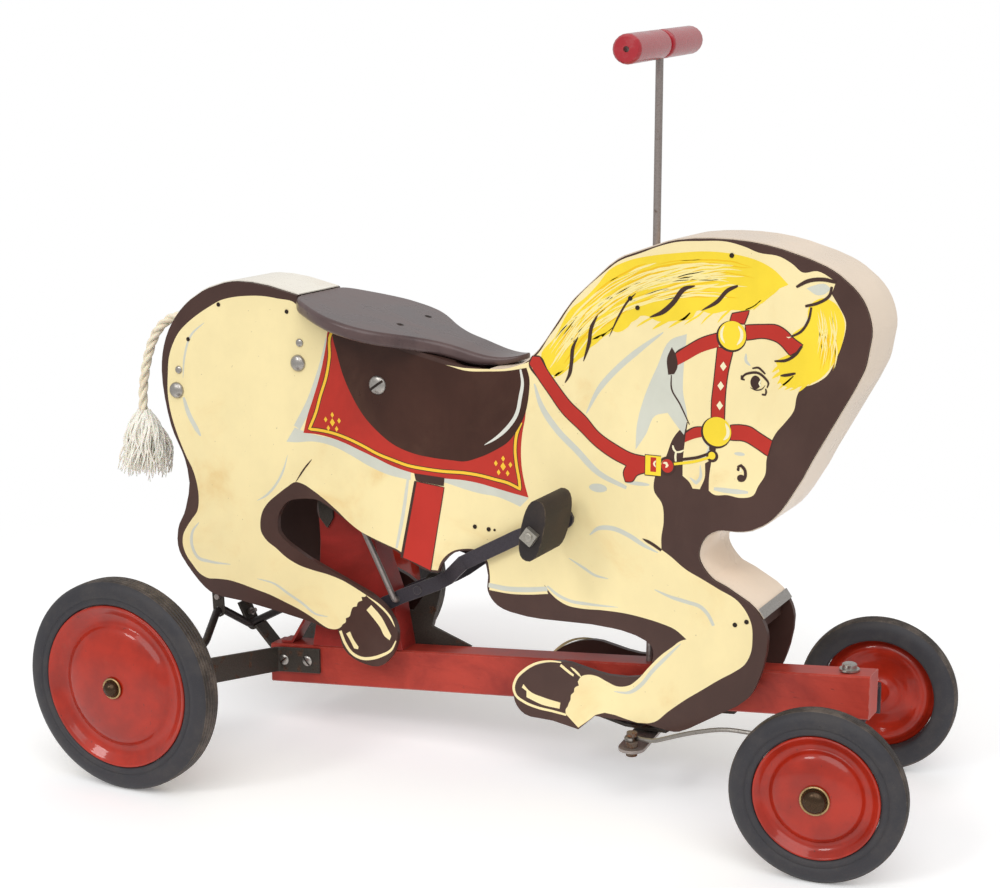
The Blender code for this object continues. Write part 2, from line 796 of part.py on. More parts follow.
def wheel_cap(name, seat_point, out, axle_r, sides=12):
    """A pressed nut with a knob on an axle's end."""
    r = axle_r + GAP
    bm = bmesh.new()
    profile = [(CAP_BORE, r), (0, r), (0, CAP_PROFILE_R),
               (1.6, CAP_PROFILE_R), (4.4, 8.5), (9.4, 7.2), (11.9, 3.5)]
    add_turned(bm, seat_point, out, profile, sides)
    return finish(name, bm, STEEL, 0.45, 0.8, origin=seat_point)


# Rear wheels
EAR_Y = 205.0
REAR_IN = REAR_OUTER_Y - REAR_TYRE_W
REAR_HUB_IN = REAR_IN - (EAR_Y + STRAP_T / 2 + RUN_GAP)
for side, label in ((-1, "right"), (1, "left")):
    wheel("rear_" + label, (0, side * REAR_IN, REAR_WHEEL_R), (0, side, 0),
          REAR_WHEEL_R, REAR_TYRE_W, REAR_DISC_R, AXLE_R + BORE_GAP,
          REAR_HUB_IN, WHEEL_SIDES)
    wheel_cap("rear_cap_" + label,
              (0, side * (REAR_OUTER_Y + 2 + RUN_GAP), REAR_WHEEL_R),
              (0, side, 0), AXLE_R)
REAR_AXLE_END = REAR_OUTER_Y + 2 + RUN_GAP + AXLE_PAST

# Cranked axle: one bent bar from wheel to wheel
throw = math.radians(CRANK_REST_DEG)
PIN = (CRANK_R * math.cos(throw), REAR_WHEEL_R + CRANK_R * math.sin(throw))
PIN_OUT = CON_OUT + 1.3
PIN_IN = CON_IN - 2.6
BEND = 2.5
crank_path = rounded([
    (0, -REAR_AXLE_END, REAR_WHEEL_R),
    (0, -CRANK_LEG_Y, REAR_WHEEL_R),
    (PIN[0], -PIN_OUT - BEND, PIN[1]),
    (PIN[0], -PIN_IN + BEND, PIN[1]),
    (0, -CRANK_INNER_Y, REAR_WHEEL_R),
    (0, REAR_AXLE_END, REAR_WHEEL_R)], [14.0, BEND, BEND, 3.0], 4)
bm = bmesh.new()
add_tube(bm, crank_path, AXLE_R, 10)
finish("crank_axle", bm, DARK_STEEL, 0.45, 0.8, origin=(0, 0, REAR_WHEEL_R))

# Straps from the beam out to the rear axle
AXLE_STRAP_H = 29.0
AXLE_STRAP_X = 41.6
AXLE_STRAP_LIFT = 28.2
EAR_R = AXLE_STRAP_H / 2
for side, label in ((-1, "right"), (1, "left")):
    flat_y = BEAM_HALF + GAP + STRAP_T / 2
    plan = [(98.0, flat_y)]
    plan += [tuple(p) for p in rounded(
        [(60, flat_y, 0), (AXLE_STRAP_X, flat_y, 0), (AXLE_STRAP_X, EAR_Y, 0),
         (20, EAR_Y, 0)], 5.0, 3)]
    plan = [(p[0], p[1]) for p in plan]
    plan += [(8, EAR_Y), (0, EAR_Y), (-5, EAR_Y), (-9, EAR_Y), (-12, EAR_Y),
             (-14, EAR_Y)]
    edge = bent_strip(plan, STRAP_T)
    count = len(plan)
    rings = []
    for i, (x, y) in enumerate(plan):
        if y < flat_y + 0.01:
            mid = beam_bottom(x) + AXLE_STRAP_LIFT
        else:
            low = beam_bottom(AXLE_STRAP_X) + AXLE_STRAP_LIFT
            share = (y - flat_y) / (EAR_Y - flat_y)
            mid = low + (REAR_WHEEL_R - low) * share
        tall = EAR_R
        if x < 0:
            tall = math.sqrt(max(EAR_R ** 2 - x * x, 0.0))
        a = edge[i]
        b = edge[2 * count - 1 - i]
        rings.append([(a[0], side * a[1], mid - tall),
                      (a[0], side * a[1], mid + tall),
                      (b[0], side * b[1], mid + tall),
                      (b[0], side * b[1], mid - tall)])
    bm = bmesh.new()
    add_rings(bm, rings)
    strap = finish("axle_strap_" + label, bm, STRAP_STEEL, 0.6, 0.6)
    cut(strap, hole((0, side * EAR_Y, REAR_WHEEL_R), (0, 1, 0),
                    AXLE_R + BORE_GAP, 20))

# Hooked strap that carries the middle of the rear axle
BEARING_R = AXLE_R + BORE_GAP + STRAP_T / 2
BEARING_Y0 = -8.0
BEARING_Y1 = 14.0
end_x = BEAM_X0 - GAP - STRAP_T / 2
hook = arc(0, REAR_WHEEL_R, BEARING_R, -40, -165, 7)
up = (-0.455, 0.890)
tip = (hook[-1][0] + up[0] * 27, hook[-1][1] + up[1] * 27)
path = [(end_x, 58), (end_x, 86)] + hook + [tip]
bm = bmesh.new()
add_slab(bm, bent_strip(path, STRAP_T), BEARING_Y0, BEARING_Y1)
bearing = finish("bearing_strap", bm, STRAP_STEEL, 0.6, 0.6)
mid_y = (BEARING_Y0 + BEARING_Y1) / 2
across_strap = Vector((up[1], 0, -up[0]))
pin_at = Vector((hook[-1][0] + up[0] * 11, mid_y, hook[-1][1] + up[1] * 11))
CLAMP_R = 2.5
cut(bearing, hole(pin_at, across_strap, CLAMP_R + BORE_GAP, 20, 12))
bm = bmesh.new()
wall = STRAP_T / 2 + GAP
add_turned(bm, pin_at, across_strap,
           [(-wall - 4, 4.0), (-wall, 4.5), (-wall, CLAMP_R),
            (wall, CLAMP_R), (wall, 4.5), (wall + 3.5, 4.5),
            (wall + 3.5, CLAMP_R), (wall + 9, CLAMP_R)], 12)
finish("bearing_bolt", bm, STEEL, 0.5, 0.8)

# Connecting rod from the crank pin up to the rocker
CON_EYE_R = 7.5
con_head = ROCKER_REAR
bm = bmesh.new()
outline = stadium(PIN, con_head, CON_EYE_R, 7)
add_slab(bm, outline, -CON_IN, -CON_OUT)
pin_mid = (PIN[0], -(CON_IN + CON_OUT) / 2, PIN[1])
rod = finish("con_rod", bm, STRAP_STEEL, 0.6, 0.6, origin=pin_mid)
along = (Vector(con_head) - Vector(PIN)).normalized()
clamp = Vector(PIN) + along * 17
CON_BOLT_R = 2.0
cut(rod, across(PIN, AXLE_R + BORE_GAP), across(con_head, 3.9),
    across(tuple(clamp), CON_BOLT_R + BORE_GAP, sides=10))
bm = bmesh.new()
add_turned(bm, (clamp.x, 0, clamp.y), (0, -1, 0),
           [(CON_IN - GAP - 2.2, 3.8), (CON_IN - GAP, 3.8),
            (CON_IN - GAP, CON_BOLT_R), (CON_OUT + GAP, CON_BOLT_R),
            (CON_OUT + GAP, 4.0), (CON_OUT + GAP + 2.2, 3.4)], 10)
finish("con_rod_bolt", bm, STEEL, 0.5, 0.8, origin=pin_mid)

# Rocker on the post bolt
ROCKER_HUB_R = 14.0
ROCKER_END_R = 8.0
round_points = (arc(*ROCKER_REAR, ROCKER_END_R, 0, 330, 11)
                + arc(*POST_BOLT, ROCKER_HUB_R, 0, 330, 11)
                + arc(*ROCKER_FRONT, ROCKER_END_R, 0, 330, 11))
bm = bmesh.new()
add_slab(bm, hull(round_points), -ROCKER_IN, -ROCKER_OUT)
rocker = finish("rocker", bm, STRAP_STEEL, 0.6, 0.6,
                origin=(POST_BOLT[0], -ROCKER_IN, POST_BOLT[1]))
cut(rocker, across(POST_BOLT, POST_BOLT_R + BORE_GAP),
    across(ROCKER_REAR, 3.9), across(ROCKER_FRONT, 3.9))

# Pedal levers: flat bars welded to a shaft in the bracket's sleeve
FLARE_Z = 208.0
lever_line = [
    (187.0, LEVER_IN + LEVER_T / 2, 165.5), (192.0, LEVER_IN + LEVER_T / 2, 168.0),
    (211.0, LEVER_IN + LEVER_T / 2, 178.0), (254.0, LEVER_IN + LEVER_T / 2, 197.5),
    (268.0, LEVER_IN + LEVER_T / 2, 206.0), (302.0, LEVER_FRONT_Y, 234.0),
    (316.0, LEVER_FRONT_Y, 241.8), (367.0, LEVER_FRONT_Y, 270.0),
    (406.0, LEVER_FRONT_Y, 288.0), (PEDAL_BOLT[0], LEVER_FRONT_Y, PEDAL_BOLT[1])]
lever_line = [Vector(p) for p in lever_line]
for side, label in ((-1, "right"), (1, "left")):
    rings = []
    path = list(lever_line)
    tail_dir = (path[-1] - path[-2]).normalized()
    head_dir = (path[0] - path[1]).normalized()
    path = ([path[0] + head_dir * 6, path[0] + head_dir * 3.5] + path
            + [path[-1] + tail_dir * d for d in (4.0, 8.0, 10.5)])
    tall = ([3.5, 6.5] + [LEVER_H / 2] * (len(lever_line) - 1)
            + [10.5, 9.6, 7.0, 3.0])
    for i, point in enumerate(path):
        before = (point - path[i - 1]).normalized() if i else None
        after = ((path[i + 1] - point).normalized()
                 if i < len(path) - 1 else None)
        t = ((before or after) + (after or before)).normalized()
        flat = Vector((t.x, 0, t.z)).normalized()
        wide = Vector((-flat.z, 0, flat.x)) * tall[i]
        thick = Vector((0, LEVER_T / 2 / max(math.hypot(t.x, t.z), 0.5), 0))
        ring = []
        for a, b in ((-1, -1), (1, -1), (1, 1), (-1, 1)):
            p = point + wide * a + thick * b
            ring.append((p.x, side * p.y, p.z))
        rings.append(ring)
    bm = bmesh.new()
    add_rings(bm, rings)
    lever = finish("lever_" + label, bm, DARK_STEEL, 0.45, 0.7,
                   origin=(px, side * LEVER_IN, pz))
    cutters = [across(PEDAL_BOLT, PEDAL_BOLT_R + BORE_GAP, 80)]
    if side < 0:
        cutters.append(across(PUSH_FOOT, ROD_R + BORE_GAP))
    else:
        cutters.append(across(LEVER_PIVOT, LEVER_SHAFT_R + BORE_GAP))
    cut(lever, *cutters)
    if side < 0:
        shaft = bmesh.new()
        add_rod(shaft, (px, -LEVER_OUT - 1.5, pz),
                (px, LEVER_OUT + 3.5, pz), LEVER_SHAFT_R)
        cut(lever, shaft, join=True)

# Pedal bolts with a spacer collar and a square nut, and the pedal blocks
bx, bz = PEDAL_BOLT
PEDAL_OUT = PEDAL_IN + PEDAL_L
lever_face_in = LEVER_FRONT_Y - LEVER_T / 2
lever_face_out = LEVER_FRONT_Y + LEVER_T / 2
for side, label in ((-1, "right"), (1, "left")):
    bm = bmesh.new()
    add_turned(bm, (bx, 0, bz), (0, side, 0),
               [(lever_face_in - GAP - 2.5, 6.5), (lever_face_in - GAP, 7.0),
                (lever_face_in - GAP, PEDAL_BOLT_R),
                (lever_face_out + GAP, PEDAL_BOLT_R),
                (lever_face_out + GAP, 5.6), (PEDAL_IN - RUN_GAP, 5.6),
                (PEDAL_IN - RUN_GAP, PEDAL_BOLT_R),
                (PEDAL_OUT + 8.5, PEDAL_BOLT_R), (PEDAL_OUT + 9.2, 3.6)], 14)
    spindle = finish("pedal_bolt_" + label, bm, STEEL, 0.5, 0.8,
                     origin=(bx, side * PEDAL_IN, bz))
    nut = bmesh.new()
    n = PEDAL_NUT / 2
    corners = [(bx + math.cos(math.radians(a)) * n * math.sqrt(2),
                bz + math.sin(math.radians(a)) * n * math.sqrt(2))
               for a in (10, 100, 190, 280)]
    add_slab(nut, corners, side * (PEDAL_OUT + RUN_GAP),
             side * (PEDAL_OUT + RUN_GAP + 7))
    cut(spindle, nut, join=True)
    tilt = math.radians(90 - PEDAL_TILT_DEG)
    oval = []
    for i in range(24):
        a = 2 * math.pi * i / 24
        u = (PEDAL_LIFT + PEDAL_TALL / 2
             * math.copysign(abs(math.cos(a)) ** 0.8, math.cos(a)))
        v = PEDAL_THICK / 2 * math.copysign(abs(math.sin(a)) ** 0.8, math.sin(a))
        oval.append((bx + u * math.cos(tilt) - v * math.sin(tilt),
                     bz + u * math.sin(tilt) + v * math.cos(tilt)))
    bm = bmesh.new()
    add_slab(bm, oval, side * PEDAL_IN, side * PEDAL_OUT)
    pedal = finish("pedal_" + label, bm, PEDAL_DARK, 0.8,
                   origin=(bx, side * PEDAL_IN, bz))
    cut(pedal, across(PEDAL_BOLT, PEDAL_BOLT_R + BORE_GAP, 160))

# Push rod from the right lever up to the rocker
foot = Vector((PUSH_FOOT[0], -ROD_Y, PUSH_FOOT[1]))
knee = Vector((160.0, -ROD_Y, 257.0))
top = Vector((ROCKER_FRONT[0], -ROD_Y, ROCKER_FRONT[1]))
over = (top - knee).normalized() * 5
path = rounded([(foot.x, -LEVER_IN + 2.2, foot.z), foot, knee, top + over],
               [3.5, 12.0], 3)
bm = bmesh.new()
add_tube(bm, path, ROD_R, 10)
finish("push_rod", bm, STEEL, 0.5, 0.8, origin=foot)

# Front truck: yoke, straight axle and wheels, made straight ahead and then
# turned about the kingpin to the rest angle
YOKE_TOP_Z = beam_bottom(KINGPIN_X) - YOKE_DROP
YOKE_MID_Z = YOKE_TOP_Z - STRAP_T / 2
YOKE_FOOT_Z = 73.0
LINK_HOLE_R = 3.3
AXLE_X = KINGPIN_X + FRONT_AXLE_LEAD
FRONT_IN = FRONT_OUTER_Y - FRONT_TYRE_W
leg_face = YOKE_HALF + STRAP_T / 2
turn = math.radians(STEER_REST_DEG)
AXLE_DIR = (-math.sin(turn), math.cos(turn), 0)


def steered(x, y, z):
    """Place a straight-ahead point of the front truck at the rest angle."""
    dx = x - KINGPIN_X
    return (KINGPIN_X + dx * math.cos(turn) - y * math.sin(turn),
            dx * math.sin(turn) + y * math.cos(turn), z)


u_path = [tuple(p)[:2] for p in rounded(
    [(-YOKE_HALF, YOKE_FOOT_Z, 0), (-YOKE_HALF, YOKE_MID_Z, 0),
     (YOKE_HALF, YOKE_MID_Z, 0), (YOKE_HALF, YOKE_FOOT_Z, 0)], 7.0, 4)]
profile = bent_strip(u_path, STRAP_T)
bm = bmesh.new()
add_rings(bm, [[(KINGPIN_X + dx, y, z) for y, z in profile]
               for dx in (-YOKE_W / 2, YOKE_W / 2)])
turned_about(bm, KINGPIN_X, STEER_REST_DEG)
yoke = finish("yoke", bm, DARK_STEEL, 0.55, 0.7, origin=(KINGPIN_X, 0, YOKE_MID_Z))
boss = bmesh.new()
BOSS_R = 10.0
boss_top = beam_bottom(KINGPIN_X - BOSS_R) - GAP
add_rod(boss, (KINGPIN_X, 0, YOKE_MID_Z), (KINGPIN_X, 0, boss_top), BOSS_R)
cut(yoke, boss, join=True)
link_hole = steered(KINGPIN_X, -ARM_R, YOKE_MID_Z)
cut(yoke,
    hole((KINGPIN_X, 0, YOKE_MID_Z), (0, 0, 1), KINGPIN_R + BORE_GAP, 30),
    hole(steered(AXLE_X, 0, FRONT_WHEEL_R), AXLE_DIR,
         FRONT_AXLE_R + BORE_GAP, 300),
    hole(link_hole, (0, 0, 1), LINK_HOLE_R, 20, 12))

axle_mid = Vector(steered(AXLE_X, 0, FRONT_WHEEL_R))
FRONT_AXLE_END = FRONT_OUTER_Y + 2 + RUN_GAP + AXLE_PAST
bm = bmesh.new()
add_rod(bm, axle_mid - Vector(AXLE_DIR) * FRONT_AXLE_END,
        axle_mid + Vector(AXLE_DIR) * FRONT_AXLE_END, FRONT_AXLE_R, 12)
finish("front_axle", bm, DARK_STEEL, 0.45, 0.8, origin=axle_mid)
for side, label in ((-1, "right"), (1, "left")):
    out = Vector(AXLE_DIR) * side
    wheel("front_" + label, axle_mid + out * FRONT_IN, out, FRONT_WHEEL_R,
          FRONT_TYRE_W, FRONT_DISC_R, FRONT_AXLE_R + BORE_GAP,
          FRONT_IN - leg_face - RUN_GAP, FRONT_SIDES)
    wheel_cap("front_cap_" + label,
              axle_mid + out * (FRONT_OUTER_Y + 2 + RUN_GAP), out, FRONT_AXLE_R)

# Kingpin bolt through the beam and the yoke
WASHER_R = 10.4
NUT_R = 7.4
under = YOKE_TOP_Z - STRAP_T - GAP
seat_z = beam_top(KINGPIN_X + WASHER_R) + GAP
bm = bmesh.new()
add_turned(bm, (KINGPIN_X, 0, 0), (0, 0, 1),
           [(under - 11, KINGPIN_R), (under - 8, KINGPIN_R), (under - 8, 8.5),
            (under, 8.5), (under, KINGPIN_R), (seat_z, KINGPIN_R),
            (seat_z, WASHER_R), (seat_z + 2, WASHER_R), (seat_z + 2, NUT_R),
            (seat_z + 6.5, NUT_R), (seat_z + 7.5, NUT_R - 1.4)], 16)
finish("kingpin", bm, BRIGHT, 0.4, 0.8)

# Strap under the beam that guides the column's foot
BRACKET_HALF = 12.5
BRACKET_FLAT_Z = ARM_Z + STRAP_T + 1.8 + STRAP_T / 2
under_gap = GAP + STRAP_T / 2 + 0.05
path = [(372, beam_bottom(372) - under_gap), (402, beam_bottom(402) - under_gap),
        (COLUMN_X - 22, BRACKET_FLAT_Z), (COLUMN_X + 24, BRACKET_FLAT_Z),
        (562, beam_bottom(562) - under_gap), (598, beam_bottom(598) - under_gap)]
bm = bmesh.new()
add_slab(bm, bent_strip(path, STRAP_T), -BRACKET_HALF, BRACKET_HALF)
foot_bracket = finish("column_bracket", bm, STRAP_STEEL, 0.65, 0.6)
cut(foot_bracket, hole((COLUMN_X, 0, BRACKET_FLAT_Z), (0, 0, 1),
                       COLUMN_R + BORE_GAP, 20))

# Steering column with its cross bar and arm in one welded piece
bm = bmesh.new()
add_rod(bm, (COLUMN_X, 0, COLUMN_FOOT_Z), (COLUMN_X, 0, HANDLE_Z), COLUMN_R, 14)
column = finish("column", bm, STEEL, 0.4, 0.9, origin=(COLUMN_X, 0, HANDLE_Z))
bar = bmesh.new()
BAR_END = GRIP_END - 7.0
bar_rise = Vector((0, BAR_END, BAR_END * BAR_LIFT))
bar_mid = Vector((COLUMN_X, 0, HANDLE_Z))
add_rod(bar, bar_mid - bar_rise, bar_mid + bar_rise, HANDLE_BAR_R, 14)
turned_about(bar, COLUMN_X, STEER_REST_DEG)
arm = bmesh.new()
half = ARM_W / 2
outline = stadium((0, -ARM_R), (0, 0), half, 8)
add_rings(arm, [[(COLUMN_X + x, y, z) for x, y in outline]
                for z in (ARM_Z, ARM_Z + STRAP_T)])
turned_about(arm, COLUMN_X, STEER_REST_DEG)
cut(column, bar, join=True)
cut(column, arm, join=True)
ARM_BOLT_R = 3.0
arm_end = (COLUMN_X + ARM_R * math.sin(turn), -ARM_R * math.cos(turn), ARM_Z)
cut(column, hole(arm_end, (0, 0, 1), ARM_BOLT_R + BORE_GAP, 20, 12))
LINK_EYE_IN = ARM_BOLT_R + BORE_GAP
low_face = LINK_EYE_Z - LINK_R - RUN_GAP
high_face = LINK_EYE_Z + LINK_R + RUN_GAP
arm_top = ARM_Z + STRAP_T + GAP
bm = bmesh.new()
add_turned(bm, (arm_end[0], arm_end[1], 0), (0, 0, 1),
           [(ARM_Z - GAP - 6, 6.0), (ARM_Z - GAP, 6.5),
            (ARM_Z - GAP, ARM_BOLT_R), (arm_top, ARM_BOLT_R),
            (arm_top, 6.5), (low_face, 6.5), (low_face, ARM_BOLT_R),
            (high_face, ARM_BOLT_R), (high_face, 6.0), (high_face + 4, 5.5)], 12)
finish("arm_bolt", bm, STEEL, 0.7, 0.6, origin=arm_end)

# Grips on the cross bar
for side, label in ((-1, "right"), (1, "left")):
    root = COLUMN_R + 1.1
    bore = HANDLE_BAR_R + GAP
    bm = bmesh.new()
    out = (Vector(AXLE_DIR) + Vector((0, 0, BAR_LIFT))).normalized() * side
    add_turned(bm, (COLUMN_X, 0, HANDLE_Z), out,
               [(root, bore), (BAR_END + GAP, bore), (BAR_END + GAP, 3.0),
                (GRIP_END, 3.0), (GRIP_END, GRIP_R - 2.6),
                (GRIP_END - 2, GRIP_R - 0.6), (GRIP_END - 5, GRIP_R),
                (root + 3.5, GRIP_R), (root + 1, GRIP_R - 0.8),
                (root, GRIP_R - 2.4)], 20, ring=True)
    finish("grip_" + label, bm, GRIP_RED, 0.35,
           origin=(COLUMN_X, 0, HANDLE_Z))

# Drag link: a wire with an eye on the arm bolt and a hook in the yoke
eye_r = LINK_EYE_IN + LINK_R
ex, ey, _ = arm_end
eye = [(ex + x, ey + y, LINK_EYE_Z) for x, y in arc(0, 0, eye_r, 300, 50, 8)]
hook_x, hook_y, _ = link_hole
path = ([Vector(p) for p in eye]
        + rounded([(ex + 9.0, ey + 1.3, LINK_EYE_Z),
                   (ex + 24, ey, LINK_EYE_Z + 0.5), (ex + 62, ey, 88),
                   (ex + 100, ey, LINK_RUN_Z - 1), (hook_x, hook_y, LINK_RUN_Z),
                   (hook_x, hook_y, YOKE_TOP_Z + 5)], [6, 14, 14, 4.5], 3))
bm = bmesh.new()
add_tube(bm, path, LINK_R, 8)
finish("drag_link", bm, STEEL, 0.55, 0.7, origin=arm_end)

# Tail: a free rope out of the rump and the loose strands at its end
ROPE_R = 5.75
rope_start_x = BLOCKS["rump_block"][0] - GAP - ROPE_R * 0.5
ROUTE = [(rope_start_x, 456.5), (-81, 466.0), (-99.4, 469.0), (-111, 463.9),
         (-122.8, 454.9), (-130.3, 445), (-136.6, 432.7), (-142.4, 416.9),
         (-146.8, 399.9), (-149.7, 384.1), (-151.1, 368.4), (-151.1, 350)]
line = smooth([Vector((x, z)) for x, z in ROUTE], 12)
length = [0.0]
for a, b in zip(line, line[1:]):
    length.append(length[-1] + (b - a).length)
POINTS = 15
curve = bpy.data.curves.new("tail_rope", "CURVE")
curve.dimensions = "3D"
curve.bevel_depth = ROPE_R * MM
curve.bevel_resolution = 2
curve.use_fill_caps = True
spline = curve.splines.new("POLY")
spline.points.add(POINTS - 1)
for k in range(POINTS):
    want = length[-1] * k / (POINTS - 1)
    i = max(j for j, value in enumerate(length) if value <= want + 1e-6)
    j = min(i + 1, len(line) - 1)
    span = length[j] - length[i]
    t = (want - length[i]) / span if span else 0.0
    p = line[i].lerp(line[j], t)
    spline.points[k].co = (p.x * MM, 0, p.y * MM, 1)
curve.materials.append(material("tail_rope", ROPE, 0.9))
rope = bpy.data.objects.new("tail_rope", curve)
bpy.context.collection.objects.link(rope)

end_x, end_z = ROUTE[-1]
TASSEL = [(0.3, 0, 5.5, 5.5), (3, 0.5, 8, 8), (18, 4, 20, 14),
          (36, 4, 28, 18), (55, 0, 34, 20), (70, -1, 38, 21),
          (75, -1, 34, 18)]
bm = bmesh.new()
rings = []
for drop, shift_x, rx, ry in TASSEL:
    rings.append([(end_x + shift_x + rx * math.cos(2 * math.pi * k / 12),
                   ry * math.sin(2 * math.pi * k / 12), end_z - drop)
                  for k in range(12)])
add_rings(bm, rings)
finish("tail_tassel", bm, ROPE, 0.9, origin=(end_x, 0, end_z))

# Stand the object on the origin at the middle of its footprint
bpy.context.view_layer.update()
CORD = {"tail_rope", "tail_tassel"}
corners = [obj.matrix_world @ Vector(c) for obj in BUILT
           if obj.name not in CORD for c in obj.bound_box]
mid_x = (min(c.x for c in corners) + max(c.x for c in corners)) / 2
mid_y = (min(c.y for c in corners) + max(c.y for c in corners)) / 2
low_z = min(c.z for c in corners)
for obj in BUILT + [rope]:
    obj.location -= Vector((mid_x, mid_y, low_z))
bpy.context.view_layer.update()
for label, value in (("shift", (mid_x, mid_y, low_z)),):
    print(label, [round(v, 6) for v in value])
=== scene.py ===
"""Looks of the pedal horse.

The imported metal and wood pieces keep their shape.  This script gives them their
paint, rust and wear, lays the painted horse on both side panels as thin coats,
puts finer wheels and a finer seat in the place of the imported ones, and adds the
nails, the screws and the rope tail.  Lengths named mm are millimetres in the
drawing's frame, whose origin is on the rear axle.
"""
import json
import logging
import math
import random
from dataclasses import dataclass
from enum import Enum
from typing import Iterable, Sequence

import bpy
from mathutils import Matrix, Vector
from mathutils.geometry import tessellate_polygon


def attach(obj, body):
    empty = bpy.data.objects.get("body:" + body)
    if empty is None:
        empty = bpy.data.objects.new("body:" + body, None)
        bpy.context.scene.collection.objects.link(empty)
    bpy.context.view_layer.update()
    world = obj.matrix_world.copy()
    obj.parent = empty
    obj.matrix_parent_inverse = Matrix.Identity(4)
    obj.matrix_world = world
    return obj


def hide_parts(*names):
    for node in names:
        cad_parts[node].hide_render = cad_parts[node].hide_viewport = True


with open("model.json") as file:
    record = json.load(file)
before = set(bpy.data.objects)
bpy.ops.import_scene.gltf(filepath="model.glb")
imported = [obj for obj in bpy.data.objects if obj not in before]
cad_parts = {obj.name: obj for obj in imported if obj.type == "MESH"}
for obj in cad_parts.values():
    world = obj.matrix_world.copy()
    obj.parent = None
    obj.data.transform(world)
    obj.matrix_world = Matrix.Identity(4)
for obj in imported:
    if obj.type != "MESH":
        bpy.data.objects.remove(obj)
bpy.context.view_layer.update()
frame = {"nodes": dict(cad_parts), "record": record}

logging.basicConfig(level=logging.INFO, format="%(name)s: %(message)s")
LOG = logging.getLogger("pedal_horse")

MM = 0.001
TINY = 1e-6
DRAWING_SHIFT_X = -351.945
PANEL_FACE_Y = 45.5
NAIL_FACE_Y = PANEL_FACE_Y + 0.45  # just above the thickest paint
HEAD_FACE_Y = 45.7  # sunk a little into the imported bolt's head
STRAP_FACE_Y = 18.9

Point = tuple[float, float]
Triple = tuple[float, float, float]
Colour = tuple[float, ...]
Run = Sequence[float]
Faces = list[tuple[int, ...]]
Socket = bpy.types.NodeSocket
Material = bpy.types.Material
Piece = bpy.types.Object


class Side(Enum):
    """The two painted panels, by the sign of their outward Y."""

    RIGHT = -1
    LEFT = 1


def placed(x: float, y: float, z: float) -> Vector:
    """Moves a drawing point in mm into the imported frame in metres."""
    return Vector(((x + DRAWING_SHIFT_X) * MM, y * MM, z * MM))


def linear(colour: str) -> Colour:
    """Turns an sRGB hex colour into linear values.

    Args:
        colour: Six hex digits.

    Returns:
        Linear red, green, blue and an alpha of 1.
    """
    values = [int(colour[i:i + 2], 16) / 255 for i in (0, 2, 4)]
    return tuple(v / 12.92 if v <= 0.04045 else ((v + 0.055) / 1.055) ** 2.4
                 for v in values) + (1.0,)


def scaled(colour: Colour, by: float) -> Colour:
    """Makes a linear colour darker, or paler up to white."""
    return tuple(min(1.0, c * by) for c in colour[:3]) + (1.0,)


class Nodes:
    """A node tree under construction."""

    def __init__(self, holder: bpy.types.ID, output: str) -> None:
        """Empties the tree of a material or a world.

        Args:
            holder: The material or world.
            output: The output node's kind.
        """
        holder.use_nodes = True
        self.tree = holder.node_tree
        self.tree.nodes.clear()
        self.out = self.add(output)

    def plug(self, node: bpy.types.Node, key: str | int, value: object) -> None:
        """Feeds one input of a node.

        Args:
            node: The node.
            key: The input's name or number.
            value: A value, an sRGB hex colour or an output socket.
        """
        if isinstance(value, Socket):
            self.tree.links.new(value, node.inputs[key])
        else:
            node.inputs[key].default_value = linear(value) if isinstance(value, str) else value

    def add(self, kind: str, inputs: dict | None = None, **settings: object) -> bpy.types.Node:
        """Adds a node.

        Args:
            kind: Its type name.
            inputs: Socket name or number to what feeds it.
            **settings: Properties of the node itself.

        Returns:
            The new node.
        """
        node = self.tree.nodes.new(kind)
        for key, value in settings.items():
            setattr(node, key, value)
        for key, value in (inputs or {}).items():
            self.plug(node, key, value)
        return node


